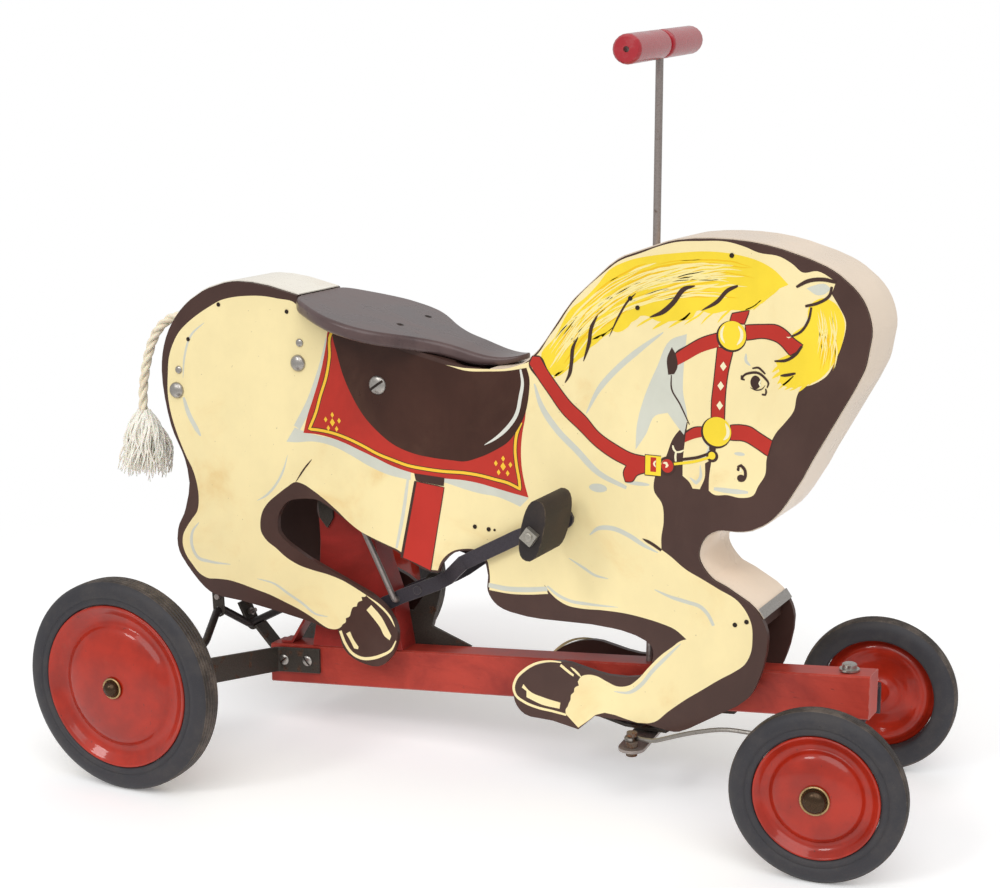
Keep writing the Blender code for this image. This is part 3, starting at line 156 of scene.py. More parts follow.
class Shader(Nodes):
    """A material under construction: one Principled shader and its inputs."""

    def __init__(self, name: str) -> None:
        """Starts the material.

        Args:
            name: The real material's name.
        """
        self.material = bpy.data.materials.new(name)
        super().__init__(self.material, "ShaderNodeOutputMaterial")
        self.surface = self.add("ShaderNodeBsdfPrincipled")
        self.plug(self.out, "Surface", self.surface.outputs["BSDF"])
        self.where = self.add("ShaderNodeTexCoord").outputs["Object"]

    def set(self, **values: object) -> None:
        """Feeds inputs of the surface, with _ in a name for a space."""
        for key, value in values.items():
            self.plug(self.surface, key.replace("_", " "), value)

    def noise(self, mm: Triple, detail: float = 4, roughness: float = 0.55,
              distortion: float = 0) -> Socket:
        """Cloudy noise with blotches of a real size.

        Args:
            mm: Blotch size along X, Y and Z, in mm.
            detail: Number of finer layers.
            roughness: Strength of the finer layers.
            distortion: How far the blotches are pulled about.

        Returns:
            The noise value, about 0.2 to 0.8.
        """
        where = self.add("ShaderNodeMapping", {
            "Vector": self.where, "Scale": tuple(1 / (a * MM) for a in mm)}).outputs[0]
        return self.add("ShaderNodeTexNoise", {
            "Vector": where, "Scale": 1.0, "Detail": detail, "Roughness": roughness,
            "Distortion": distortion}).outputs["Fac"]

    def ramp(self, value: Socket, low: float, high: float, to_low: float = 0.0,
             to_high: float = 1.0) -> Socket:
        """Maps a value smoothly from one range to another and clamps it.

        Args:
            value: The value's socket.
            low: Value that gives to_low.
            high: Value that gives to_high.
            to_low: Result at low.
            to_high: Result at high.

        Returns:
            The mapped value.
        """
        return self.add("ShaderNodeMapRange", {
            "Value": value, "From Min": low, "From Max": high, "To Min": to_low,
            "To Max": to_high}, interpolation_type="SMOOTHSTEP").outputs[0]

    def math(self, operation: str, a: object, b: object) -> Socket:
        """One arithmetic step on two values or sockets."""
        return self.add("ShaderNodeMath", {0: a, 1: b}, operation=operation).outputs[0]

    def mix(self, share: object, a: object, b: object) -> Socket:
        """Mixes two colours by the share of the second."""
        return self.add("ShaderNodeMix", {0: share, 6: a, 7: b}, data_type="RGBA").outputs[2]

    def bump(self, height: Socket, mm: float, strength: float = 1.0,
             below: Socket | None = None) -> Socket:
        """Turns a height into a surface direction.

        Args:
            height: Height from 0 to 1.
            mm: Real height of 1, in mm.
            strength: Share of the effect.
            below: A bump that this one lies on.

        Returns:
            The normal.
        """
        inputs: dict = {"Height": height, "Distance": mm * MM, "Strength": strength}
        if below is not None:
            inputs["Normal"] = below
        return self.add("ShaderNodeBump", inputs).outputs[0]

    def edges(self, mm: float) -> Socket:
        """How close a point is to an outer edge.

        Args:
            mm: Width of the edge band, in mm.

        Returns:
            About 0 on flats, rising to 1 along edges.
        """
        soft = self.add("ShaderNodeBevel", {"Radius": mm * MM}, samples=6)
        hard = self.add("ShaderNodeNewGeometry")
        same = self.add("ShaderNodeVectorMath", {0: soft.outputs[0], 1: hard.outputs["Normal"]},
                        operation="DOT_PRODUCT").outputs["Value"]
        return self.ramp(same, 0.995, 0.86)


@dataclass(frozen=True)
class Paint:
    """A coat of artwork or house paint on board or sheet.

    The mottle gives slightly uneven hand-rolled colour, the stain gives old
    yellow-brown marks, and the orange-peel bump breaks highlights.
    """

    name: str
    colour: str
    stain: str = "c9a45c"
    stain_share: float = 0.0
    mottle: float = 0.10
    roughness: float = 0.38
    coat: float = 0.08
    specks: float = 0.0

    def make(self) -> Material:
        """Returns:
            The finished material.
        """
        s = Shader(self.name)
        cloud = s.noise((70, 70, 95), 5, 0.6)
        streak = s.noise((4, 4, 60), 3, 0.5)
        base = linear(self.colour)
        deep = scaled(base, 1 - self.mottle)
        tone = s.mix(s.ramp(cloud, 0.3, 0.7), deep, scaled(base, 1 + self.mottle * 0.5))
        tone = s.mix(s.ramp(streak, 0.45, 0.75, 0, self.mottle), tone, deep)
        if self.stain_share > 0:
            old = s.noise((110, 110, 120), 6, 0.62, 0.6)
            tone = s.mix(s.ramp(old, 0.52, 0.78, 0, self.stain_share), tone, self.stain)
        if self.specks > 0:
            dirt = s.noise((3.2, 3.2, 3.8), 2, 0.5)
            tone = s.mix(s.ramp(dirt, 0.735, 0.79, 0, self.specks), tone, "6d5233")
        s.set(Base_Color=tone, Specular_IOR_Level=0.22, Coat_Weight=self.coat, Coat_Roughness=0.25,
              Roughness=s.ramp(cloud, 0.3, 0.7, self.roughness - 0.06, self.roughness + 0.08),
              Normal=s.bump(s.noise((2.2, 2.2, 2.8), 3), 0.05, 0.6))
        return s.material


@dataclass(frozen=True)
class PaintedWood:
    """Old gloss paint on a plank, scratched along the grain.

    It has long darker grain lines, dents, rubbed edges where the coat is
    thin, and small chips down to dark wood.
    """

    name: str
    colour: str
    deep: str
    rubbed: str
    bare: str
    grain: Triple = (90, 5, 4)
    wear: float = 0.5
    roughness: float = 0.36
    coat: float = 0.14

    def make(self) -> Material:
        """Returns:
            The finished material.
        """
        s = Shader(self.name)
        cloud = s.noise((85, 60, 60), 5, 0.6, 0.5)
        lines = s.noise(self.grain, 4, 0.6)
        tone = s.mix(s.ramp(cloud, 0.32, 0.68), self.deep, self.colour)
        tone = s.mix(s.ramp(lines, 0.5, 0.8, 0, 0.35), tone, self.deep)
        broken = s.math("MULTIPLY", s.edges(1.6), s.ramp(s.noise((9, 9, 9), 4), 0.4, 0.62))
        tone = s.mix(s.math("MULTIPLY", broken, self.wear), tone, self.rubbed)
        nick = s.noise((self.grain[0] * 0.12, 2.6, 2.0), 3, 0.55)
        tone = s.mix(s.ramp(nick, 0.70, 0.73, 0, self.wear), tone, self.bare)
        dents = s.bump(s.ramp(nick, 0.62, 0.74, 1, 0), 0.25, 0.7)
        s.set(Base_Color=tone, Specular_IOR_Level=0.25, Coat_Weight=self.coat, Coat_Roughness=0.3,
              Roughness=s.ramp(cloud, 0.3, 0.7, self.roughness, self.roughness + 0.14),
              Normal=s.bump(lines, 0.18, 0.55, dents))
        return s.material


@dataclass(frozen=True)
class Metal:
    """Plated, bare or dark-painted steel with rust.

    Fine marks and small blotches break the highlights; rust sits in patches.
    """

    name: str
    colour: str
    metallic: float = 1.0
    roughness: float = 0.35
    rust: float = 0.2
    rust_colour: str = "6b4326"
    patch: float = 14.0
    edge_bright: float = 0.0

    def make(self) -> Material:
        """Returns:
            The finished material.
        """
        s = Shader(self.name)
        blot = s.noise((self.patch, self.patch, self.patch), 6, 0.65)
        fine = s.noise((1.6, 1.6, 1.6), 3)
        base = linear(self.colour)
        tone = s.mix(s.ramp(fine, 0.35, 0.7, 0, 0.55), base, scaled(base, 0.62))
        if self.edge_bright > 0:
            tone = s.mix(s.math("MULTIPLY", s.edges(0.9), self.edge_bright), tone, "8d8782")
        where = s.ramp(blot, 0.66 - 0.22 * self.rust, 0.74 - 0.1 * self.rust)
        where = s.math("MULTIPLY", where, min(1.0, 0.45 + self.rust))
        tone = s.mix(where, tone, s.mix(s.ramp(fine, 0.35, 0.65), self.rust_colour, "3d271a"))
        polish = s.ramp(fine, 0.3, 0.7, self.roughness - 0.05, self.roughness + 0.12)
        s.set(Base_Color=tone, Metallic=s.ramp(where, 0, 1, self.metallic, 0.05),
              Roughness=s.math("ADD", s.math("MULTIPLY", where, 0.4), polish),
              Specular_IOR_Level=0.3, Normal=s.bump(blot, 0.15, 0.6, s.bump(fine, 0.05, 0.7)))
        return s.material


@dataclass(frozen=True)
class Enamel:
    """Red enamel on the pressed discs: soft shine, faint dust, small scuffs."""

    name: str
    colour: str
    deep: str

    def make(self) -> Material:
        """Returns:
            The finished material.
        """
        s = Shader(self.name)
        cloud = s.noise((45, 45, 45), 5, 0.6)
        tone = s.mix(s.ramp(cloud, 0.3, 0.7), self.deep, self.colour)
        dust = s.ramp(s.noise((16, 16, 16), 6, 0.7), 0.60, 0.85, 0, 0.15)
        tone = s.mix(dust, tone, "a8664c")
        mark = s.ramp(s.noise((2.2, 5, 7), 3, 0.5, 0.3), 0.70, 0.74)
        tone = s.mix(s.math("MULTIPLY", mark, 0.7), tone, "4a2019")
        s.set(Base_Color=tone, Roughness=s.ramp(cloud, 0.3, 0.7, 0.3, 0.42),
              Specular_IOR_Level=0.22, Coat_Weight=0.55, Coat_Roughness=0.07,
              Normal=s.bump(s.noise((7, 7, 7), 3), 0.06, 0.5))
        return s.material


@dataclass(frozen=True)
class Rubber:
    """Old black rubber under a film of dust; dusty is how much of it shows."""

    name: str
    colour: str
    dust: str
    dusty: float

    def make(self) -> Material:
        """Returns:
            The finished material.
        """
        s = Shader(self.name)
        cloud = s.noise((26, 26, 26), 6, 0.68)
        fine = s.noise((1.6, 1.6, 1.6), 3)
        dust = s.math("ADD", s.ramp(cloud, 0.40, 0.72, 0, self.dusty),
                      s.ramp(fine, 0.55, 0.78, 0, self.dusty * 0.8))
        tone = s.mix(dust, self.colour, self.dust)
        nick = s.ramp(s.noise((2.6, 3.4, 2.6), 3, 0.5), 0.71, 0.75, 0, 0.6)
        s.set(Base_Color=s.mix(nick, tone, "151314"), Specular_IOR_Level=0.3,
              Roughness=s.ramp(cloud, 0.3, 0.7, 0.42, 0.62), Normal=s.bump(fine, 0.07, 0.7))
        return s.material


@dataclass(frozen=True)
class Plastic:
    """Glossy moulded grip with fine rings and a dull film of handling."""

    name: str
    colour: str
    haze: str

    def make(self) -> Material:
        """Returns:
            The finished material.
        """
        s = Shader(self.name)
        cloud = s.noise((12, 18, 12), 5, 0.6)
        s.set(Base_Color=s.mix(s.ramp(cloud, 0.45, 0.8, 0, 0.3), self.colour, self.haze),
              Roughness=s.ramp(cloud, 0.3, 0.7, 0.16, 0.34), Specular_IOR_Level=0.3,
              Coat_Weight=0.5, Coat_Roughness=0.08,
              Normal=s.bump(s.noise((14, 3, 14), 3), 0.3, 0.6))
        return s.material


@dataclass(frozen=True)
class Cotton:
    """Undyed cotton cord with brown hand dirt, fine fibres and a soft sheen."""

    name: str
    colour: str
    dirt: str

    def make(self) -> Material:
        """Returns:
            The finished material.
        """
        s = Shader(self.name)
        patch = s.noise((22, 22, 16), 4, 0.6)
        tone = s.mix(s.ramp(patch, 0.52, 0.74, 0, 0.55), self.colour, self.dirt)
        fibre = s.noise((0.7, 0.7, 3.0), 3)
        s.set(Base_Color=s.mix(s.ramp(fibre, 0.5, 0.8, 0, 0.25), tone, self.dirt), Roughness=0.9,
              Sheen_Weight=0.35, Sheen_Roughness=0.5, Subsurface_Weight=0.1,
              Subsurface_Scale=0.002, Normal=s.bump(fibre, 0.25, 0.8))
        return s.material


def flat(points: Iterable[Point]) -> Run:
    """Lists the coordinates of points one after the other."""
    return tuple(v for p in points for v in p)


def oval(x: float, z: float, across: float, tall: float, count: int) -> list[Point]:
    """That many points round an oval of a given middle, width and height."""
    return [(x + across / 2 * math.cos(math.tau * i / count),
             z + tall / 2 * math.sin(math.tau * i / count)) for i in range(count)]


def smooth_run(run: Run, closed: bool, sharp: float = 48.0, steps: int = 5) -> list[Point]:
    """Rounds a run of points and keeps its sharp corners.

    Args:
        run: x, z, x, z ... in mm.
        closed: Whether the run is a loop.
        sharp: Turn in degrees above which a corner is kept.
        steps: Most points per stretch.

    Returns:
        The denser run.
    """
    pts = [Vector(run[i:i + 2]) for i in range(0, len(run), 2)]
    count = len(pts)
    tangents: list[Vector | None] = []
    for i, p in enumerate(pts):
        a, b = p - pts[i - 1], pts[(i + 1) % count] - p
        if (not closed and i in (0, count - 1) or min(a.length, b.length) < TINY
                or math.degrees(a.angle(b)) > sharp):
            tangents.append(None)
            continue
        along = a / a.length * b.length + b / b.length * a.length
        tangents.append(along / (a.length + b.length))
    out: list[Point] = []
    for i in range(count if closed else count - 1):
        p, q = pts[i], pts[(i + 1) % count]
        chord = (q - p).length
        straight = (q - p) / max(chord, TINY)
        m0 = (tangents[i] or straight) * chord
        m1 = (tangents[(i + 1) % count] or straight) * chord
        n = max(1, min(steps, int(chord / 1.5)))
        for k in range(n):
            t = k / n
            v = (p * (2 * t ** 3 - 3 * t ** 2 + 1) + m0 * (t ** 3 - 2 * t ** 2 + t)
                 + q * (-2 * t ** 3 + 3 * t ** 2) + m1 * (t ** 3 - t ** 2))
            out.append((v.x, v.y))
    if not closed:
        out.append(tuple(pts[-1]))
    return out


def banded(points: Sequence[Point], ways: Sequence[Vector], halves: Sequence[float]
           ) -> list[Point]:
    """Runs out along one side of a line and back along the other.

    Args:
        points: The line.
        ways: Its direction at each point.
        halves: Its half width at each point, in mm.

    Returns:
        The loop.
    """
    rows = list(zip(points, ways, halves))
    return ([(p[0] - d.y * h, p[1] + d.x * h) for p, d, h in rows]
            + [(p[0] + d.y * h, p[1] - d.x * h) for p, d, h in rows[::-1]])


@dataclass(frozen=True)
class Patch:
    """A filled shape of paint; its run is a loop of x, z in mm."""

    run: Run
    sharp: float = 48.0

    def outline(self) -> list[Point]:
        """The rounded loop."""
        return smooth_run(self.run, True, self.sharp)


@dataclass(frozen=True)
class Stroke:
    """A brush stroke; start and end are shares of its width at its ends."""

    run: Run
    width: float
    start: float = 0.15
    end: float = 0.15
    sharp: float = 70.0

    def outline(self) -> list[Point]:
        """Returns:
            The loop round the stroke.
        """
        line = smooth_run(self.run, False, self.sharp)
        total = len(line) - 1
        ways = [(Vector(line[min(i + 1, total)]) - Vector(line[max(i - 1, 0)])).normalized()
                for i in range(total + 1)]
        halves = []
        for i in range(total + 1):
            lift = min(1.0, i / total / 0.3) ** 0.7
            fall = min(1.0, (1 - i / total) / 0.3) ** 0.7
            halves.append(self.width / 2 * min(self.start + (1 - self.start) * lift,
                                               self.end + (1 - self.end) * fall))
        return banded(line, ways, halves)


@dataclass(frozen=True)
class Spot:
    """A round or oval of paint."""

    x: float
    z: float
    across: float
    tall: float | None = None

    def outline(self) -> list[Point]:
        """The loop."""
        return oval(self.x, self.z, self.across, self.tall or self.across, 40)


@dataclass(frozen=True)
class Loop:
    """An even line that follows a closed run, such as a ring."""

    run: Run
    width: float

    def outline(self) -> list[Point]:
        """Returns:
            The loop out and back, joined by a hairline.
        """
        line = smooth_run(self.run, True, 60)
        points = line + line[:1]
        ways = [(Vector(line[(i + 1) % len(line)]) - Vector(line[i - 1])).normalized()
                for i in range(len(line))]
        return banded(points, ways + ways[:1], [self.width / 2] * len(points))


def mesh_piece(name: str, corners: Sequence[Vector], faces: Faces, material: Material,
               smooth: bool = False) -> Piece:
    """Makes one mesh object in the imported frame.

    Args:
        name: The piece's name.
        corners: Its points in metres.
        faces: Its faces as point numbers.
        material: Its material.
        smooth: Whether it is shaded smooth.

    Returns:
        The linked object.
    """
    data = bpy.data.meshes.new(name)
    data.from_pydata([tuple(c) for c in corners], [], faces)
    data.materials.append(material)
    if smooth:
        data.polygons.foreach_set("use_smooth", [True] * len(data.polygons))
    data.update()
    piece = bpy.data.objects.new(name, data)
    bpy.context.scene.collection.objects.link(piece)
    return piece


def settle(piece: Piece, body: str, node: str | None = None) -> Piece:
    """Puts a piece on its body.

    Args:
        piece: The piece.
        body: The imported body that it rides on.
        node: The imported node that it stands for, if any.

    Returns:
        The piece.
    """
    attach(piece, body)
    if node:
        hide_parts(node)
    return piece


@dataclass(frozen=True)
class Coat:
    """One colour of the artwork; its level says how far out it lies."""

    name: str
    paint: Paint
    shapes: tuple
    level: int

    LEVEL_STEP = 0.03
    SHAPE_STEP = 0.004  # keeps the shapes of one coat apart where they overlap

    def lay(self, side: Side) -> Piece:
        """Lays the coat on a panel.

        Args:
            side: Which panel.

        Returns:
            The piece, riding on the frame.
        """
        corners: list[Vector] = []
        faces: Faces = []
        for number, shape in enumerate(self.shapes):
            lift = self.LEVEL_STEP * self.level + self.SHAPE_STEP * (number % 5)
            y = side.value * (PANEL_FACE_Y + lift)
            loop = shape.outline()
            base = len(corners)
            corners += [placed(x, y, z) for x, z in loop]
            drawn = [Vector((x, z, 0)) for x, z in loop]
            for tri in tessellate_polygon([drawn]):
                a, b, c = (drawn[i] for i in tri)
                area = (b - a).cross(c - a).z
                if abs(area) >= 1e-9:
                    order = tri if (area > 0) == (side is Side.RIGHT) else tri[::-1]
                    faces.append(tuple(base + i for i in order))
        material = bpy.data.materials.get(self.paint.name) or self.paint.make()
        piece = mesh_piece(f"{self.name}_{side.name.lower()}", corners, faces, material)
        return settle(piece, "frame")


# The artwork, as x, z, x, z ... in mm of the drawing.  First the cream body.
BODY = (
    94, 500, 70, 504.7, 50, 506.3, 30, 505.3, 10, 502.5, -5, 498.4, -20, 490.6, -36, 481, -50, 471,
    -63, 459, -72, 445, -78.4, 428, -80.6, 409, -81.6, 387, -79, 368, -73.8, 350, -67.5, 334, -59,
    316, -50, 300, -45, 284, -43.3, 270, -46, 252, -54, 241.5, -61, 232, -66.6, 222, -67.8, 211,
    -63.8, 198.8, -55, 187.8, -45.6, 178.4, -34.7, 174, -20.6, 174.7, -5, 175, 10.6, 173, 30, 169,
    50, 165, 70, 159, 90, 152.5, 107.5, 145, 120, 138.4, 128, 135.5, 141, 137, 145, 140, 146.6,
    142.5, 150.6, 145.6, 151, 150.3, 156, 153.4, 157.5, 158, 160.6, 164.4, 165.3, 165.9, 166.9,
    170.6, 172.5, 173.8, 171.6, 177.8, 176.9, 179, 177.8, 180.6, 166.9, 185.6, 148, 193.4, 129.4,
    198, 107.5, 201, 88.8, 205, 73, 212, 60.6, 220.6, 48, 228.4, 41, 237.8, 40.3, 248.8, 43.4, 261,
    51, 272, 63.8, 283, 76.3, 292.5, 88.8, 300, 98, 298.8, 110.6, 293, 126, 284, 142, 273, 157.5,
    261, 173, 252, 184, 248, 206, 241, 219, 237, 231, 230, 254, 220, 268, 220, 272, 230, 288,
    244.5, 301, 248, 314, 248.5, 325, 243, 331, 224, 330.5, 206, 356, 205, 378, 207, 400, 210.6,
    395, 220.6, 401.6, 212.8, 409.4, 206.6, 421.9, 201, 437.5, 199.7, 462.5, 201, 487.5, 201,
    509.4, 198.8, 528, 195.6, 543.8, 191, 556, 182.5, 550, 180, 540.6, 172, 528, 161, 515.6, 147,
    503, 131.6, 493.8, 123.8, 479.7, 120.6, 468.8, 123.8, 456, 128.4, 446.9, 128.4, 439, 125.3,
    435, 119, 436.3, 115, 431.3, 111.3, 430.6, 106.6, 427.5, 103.4, 426.6, 97, 425, 94, 423.4,
    89.4, 421.3, 86.3, 421.3, 81, 436, 68, 450, 80, 456, 85.5, 515, 85.5, 522, 88, 537.5, 101.9,
    556, 117.5, 575, 131.6, 593.8, 145.6, 607.8, 155, 618.8, 164.4, 625, 176.9, 626.6, 192.5, 625,
    208, 618.8, 220.6, 609.4, 230.6, 590.6, 239.4, 571.9, 248, 553, 256.6, 537.5, 267.5, 527,
    273.8, 526.6, 286, 528.8, 303, 526.6, 321.9, 517.8, 334.4, 518.8, 350, 529.7, 370, 537.5,
    390.6, 553, 409.4, 550, 387, 548.4, 370, 548.4, 353, 556, 346.9, 559.4, 341, 567, 341, 571.9,
    353, 572, 368, 579, 373, 576.6, 353, 576.6, 340.6, 581, 337.5, 596.9, 338, 609.4, 336.6, 623.4,
    340.6, 628, 350, 635, 362.5, 636, 378, 640.6, 396.9, 645.3, 406, 653, 415.6, 662.5, 429.7, 665,
    443.8, 668.8, 451.6, 679.7, 456, 693.8, 465.6, 703, 484.4, 709.4, 503, 711, 518.8, 703, 534.4,
    696, 545, 700, 557, 681, 566, 667, 564, 656, 571.9, 643.8, 578, 621.9, 581, 607.8, 586, 590,
    590, 562, 589.5, 537.5, 587.5, 519, 582.5, 500, 575, 475, 565, 462, 555, 425, 520, 407, 494,
    400, 485, 388, 467, 378, 457.5, 366, 452.5, 350, 447.5, 330, 445.5, 300, 444.5, 140, 481, 100,
    491)
# Cream lines and shines on the hooves.
HOOF_TRIM = (
    Stroke((178, 180, 195, 170.6, 207.5, 159.7, 213.8, 148.8), 2.6),
    Stroke((215, 133, 209, 122, 195, 112.8, 182.5, 108, 170, 106.6, 157.5, 111.3, 149.7, 120.6,
        143.4, 134.7), 3.6, 0.3, 1),
    Patch((184, 170, 177.8, 163.4, 186, 155.5, 195, 145.6, 200.6, 136.3, 206.9, 132.5, 209, 137.8,
        204.4, 145.6, 196.6, 158)),
    Patch((156, 135.6, 151, 132.5, 156, 125.3, 161, 116.6, 166, 116.3, 166.9, 119, 160.6, 126.9)),
    Stroke((415.6, 137.5, 403, 136.9, 387.5, 132.5, 371.9, 122, 362.5, 111, 359.8, 98.8, 362.5,
        92.5, 371.9, 86.9, 387.5, 83, 406, 81.6, 421.9, 80), 3, 0.4, 0.8),
    Patch((415.6, 135.6, 414, 133, 426.6, 125.3, 429.7, 123.8, 430.6, 126, 423.4, 130.6)),
    Stroke((426.6, 133.8, 433, 129.5, 439, 124.4), 2.6),
    Patch((371.3, 106.6, 369.4, 102.5, 375, 99.4, 375, 92.5, 393.8, 86.9, 414, 85.6, 415, 92.5,
        396.9, 95, 378, 100.3)))
# Grey shading on the legs, the neck, the face and round the blanket.
SHADES = (
    Stroke((-28, 472, -47, 456, -56.6, 431, -59.7, 406), 2.6),
    Stroke((-59.7, 384, -53.4, 365.6, -44, 350, -37.8, 341), 6, 0.5, 0.3),
    Stroke((78.8, 329.7, 73, 312.5, 60.6, 292, 48, 279.7, 37, 273.4), 2.6),
    Stroke((-44, 239, -53.4, 227, -55, 211, -47, 197, -30, 194, -2, 194), 4),
    Stroke((34, 181.6, 57.5, 178.4, 76, 169, 95, 159.7, 110.6, 150.3, 127.8, 148.8), 3),
    Stroke((447, 280, 456, 287.8, 471.9, 290, 490.6, 284.7, 507.8, 276, 523.4, 270), 5),
    Stroke((423.4, 252.5, 440.6, 244, 453, 237.8, 468.8, 235.6), 2.8),
    Stroke((520.3, 230.6, 537.5, 225.3, 556, 222, 570.3, 219, 578, 212.8, 585, 201), 4, 0.2, 0.8),
    Stroke((476.6, 114.4, 493.8, 116, 506, 125.3, 518.8, 142.5, 537, 163, 550, 177), 4),
    Stroke((329.5, 211.5, 350, 210, 375, 212, 399, 216), 5.5, 0.9, 0.9),
    Stroke((399, 219, 410, 211.5, 424, 206.5, 445, 205.5, 480, 206.5), 3.4, 0.6),
    Stroke((525, 497, 500, 478, 475, 456, 456, 434.4, 442, 407.8), 6),
    Patch((550, 497, 533, 490, 519, 462, 506, 431, 498, 400, 497, 375, 508, 392, 518, 412, 531,
        416, 540, 405, 549, 395, 552, 412, 547, 440, 547, 455)),
    Stroke((383, 434, 390.6, 412.5, 409.4, 387.5, 431, 368.8, 456, 347, 487.5, 334.4), 7, 0.2,
        0.5),
    Spot(456, 331, 20, 9), Spot(500, 340, 26, 4), Spot(608, 381, 11, 3.6),
    Stroke((560, 372, 572, 375, 577, 385, 569, 392), 3.4),
    Stroke((556, 352, 563, 347, 567, 352, 567, 366), 3.4),
    Stroke((582, 343, 600, 342.5, 618, 343), 5, 0.6, 0.4),
    Stroke((612, 482, 612.5, 474, 617, 470), 3),
    Patch((671, 549, 679, 552.5, 690, 554, 695, 550, 690, 545, 683, 543)),
    Stroke((675, 527, 673, 516, 667, 506), 3.4),
    Stroke((135, 465, 129, 441, 120, 416, 110.5, 394, 92, 362), 9, 0.8, 1),
    Patch((89, 362, 77.8, 345, 88.8, 345.3, 113.8, 348.4, 138.8, 345.3, 160.6, 337.5, 182.5, 328,
        207.5, 320.3, 235.6, 317, 236, 328, 190, 339, 150, 352, 104, 358)),
    Patch((276, 326, 276, 318.8, 318.8, 311, 340.6, 309.4, 357.8, 304.7, 367, 301.6, 377, 312, 340,
        320, 300, 325)),
    Stroke((232.5, 320, 226, 280, 217, 239), 4, 0.7, 0.7))
# The mane and the forelock.
MANE = (
    Patch((390.6, 462.5, 406, 484, 425, 515.6, 437.5, 525, 453, 540.6, 465.6, 556, 487.5, 567,
        512.5, 573, 537.5, 576.6, 568.8, 579.7, 600, 578, 625, 571.9, 637.5, 565.6, 653, 551.6,
        637.5, 543.8, 625, 532.8, 612.5, 525, 593.8, 523.4, 575, 518.8, 560, 520.5, 556, 514,
        537.5, 509.4, 518.8, 507.8, 506, 512.5, 493.8, 509.4, 487, 500, 475, 493.8, 468, 495, 456,
        484.4, 448, 481, 440.6, 468.8, 428, 459.4, 418.8, 450, 407.8, 443.8, 400, 447, 393.8, 456),
        80),
    Patch((675, 532.8, 687.5, 540.6, 700, 536, 709, 521.9, 707.8, 497, 700, 478, 687.5, 462.5,
        671.9, 454.7, 659.4, 451.6, 648.4, 454.7, 646.9, 465.6, 642, 476.6, 664, 489, 657.8, 501.6,
        671.9, 515.6), 80))
# The red blanket, and the yellow line inside its edge.
BLANKET = (
    Patch((137, 478, 134, 472, 131.9, 459.4, 127.8, 440.6, 121.6, 418.8, 113.8, 397, 106, 376.6,
        100.3, 357, 116.9, 357, 135.6, 354.7, 154.4, 350, 173, 343.8, 191.9, 337.5, 210.6, 331,
        229.4, 326.6, 250, 323.8, 276, 323, 300, 323.4, 318.8, 321.9, 337.5, 318.8, 356, 315.6,
        376.6, 312.5, 371.9, 328, 368.8, 343.8, 367.8, 362.5, 369.4, 381, 372.5, 397, 374, 425,
        300, 430, 160, 470)),)
BLANKET_LINE = (
    140, 473, 138, 470, 135.6, 443.8, 131, 421.9, 123, 400, 116.9, 381, 108, 362, 120, 361.9,
    138.8, 360, 157.5, 355.6, 176, 349.4, 195, 342, 213.8, 337, 232.5, 332.8, 250, 331.3, 276,
    330.6, 300, 331.5, 318.8, 330.6, 337.5, 328, 353, 325.6, 367, 320.5, 365.6, 331.3, 362.5, 347,
    361, 362.5, 363.4, 381, 368, 392)
# The saddle's dark flap.
FLAP = (
    Patch((140, 477, 140, 468.8, 145, 450, 152.8, 425, 163.8, 403, 177.8, 382.8, 195, 367, 213.8,
        354.7, 235.6, 347.5, 260.6, 344.4, 285.6, 343.8, 300, 343.8, 318.8, 350, 337.5, 359.4, 353,
        370, 364, 384.4, 371.9, 400, 376.6, 421.9, 377, 440.6, 374, 450, 350, 445, 330, 443, 300,
        442, 285, 445)),)
# The girth, the breast strap and the bridle's straps.
STRAPS = (
    Patch((241, 316, 276, 312.8, 267, 264, 259, 219, 241, 225, 223, 230)),
    Patch((381, 462.5, 389, 462.5, 397, 450, 409.4, 434.4, 425, 417, 440.6, 404.7, 456, 389, 475,
        378, 493.8, 370.3, 509, 368.5, 509, 353, 498.4, 348.4, 493.8, 342, 486.6, 341, 484.4, 350,
        487.5, 357.8, 471.9, 364, 453, 375, 434.4, 390.6, 415.6, 406, 400, 425, 387.5, 440.6,
        377.5, 454.7)),
    Patch((582.8, 486, 598.4, 483.8, 593.8, 462.5, 591.5, 440, 591, 414, 578, 414, 578, 432, 579.7,
        450)),
    Patch((611, 509.4, 628, 511, 643.8, 511, 653, 506, 659.4, 500, 668.8, 494, 664, 488, 657,
        483.5, 656, 484.4, 643.8, 495.3, 631, 498.4, 612.5, 495.5)),
    Patch((597, 520, 614, 524, 609.4, 511, 595, 512.5)),
    Patch((582.8, 500, 565.6, 493.8, 550, 484.4, 539, 476.6, 539, 464, 550, 470.3, 565.6, 479.7,
        583.8, 486.5)),
    Patch((598.4, 409, 609.4, 410, 618.8, 408.8, 628, 403.8, 641, 397, 637, 382, 625, 389, 612.5,
        394.7, 598.4, 394.5)),
    Patch((570, 404.7, 559.4, 403, 551, 397, 550, 387.5, 559.4, 392, 570, 395.3)))
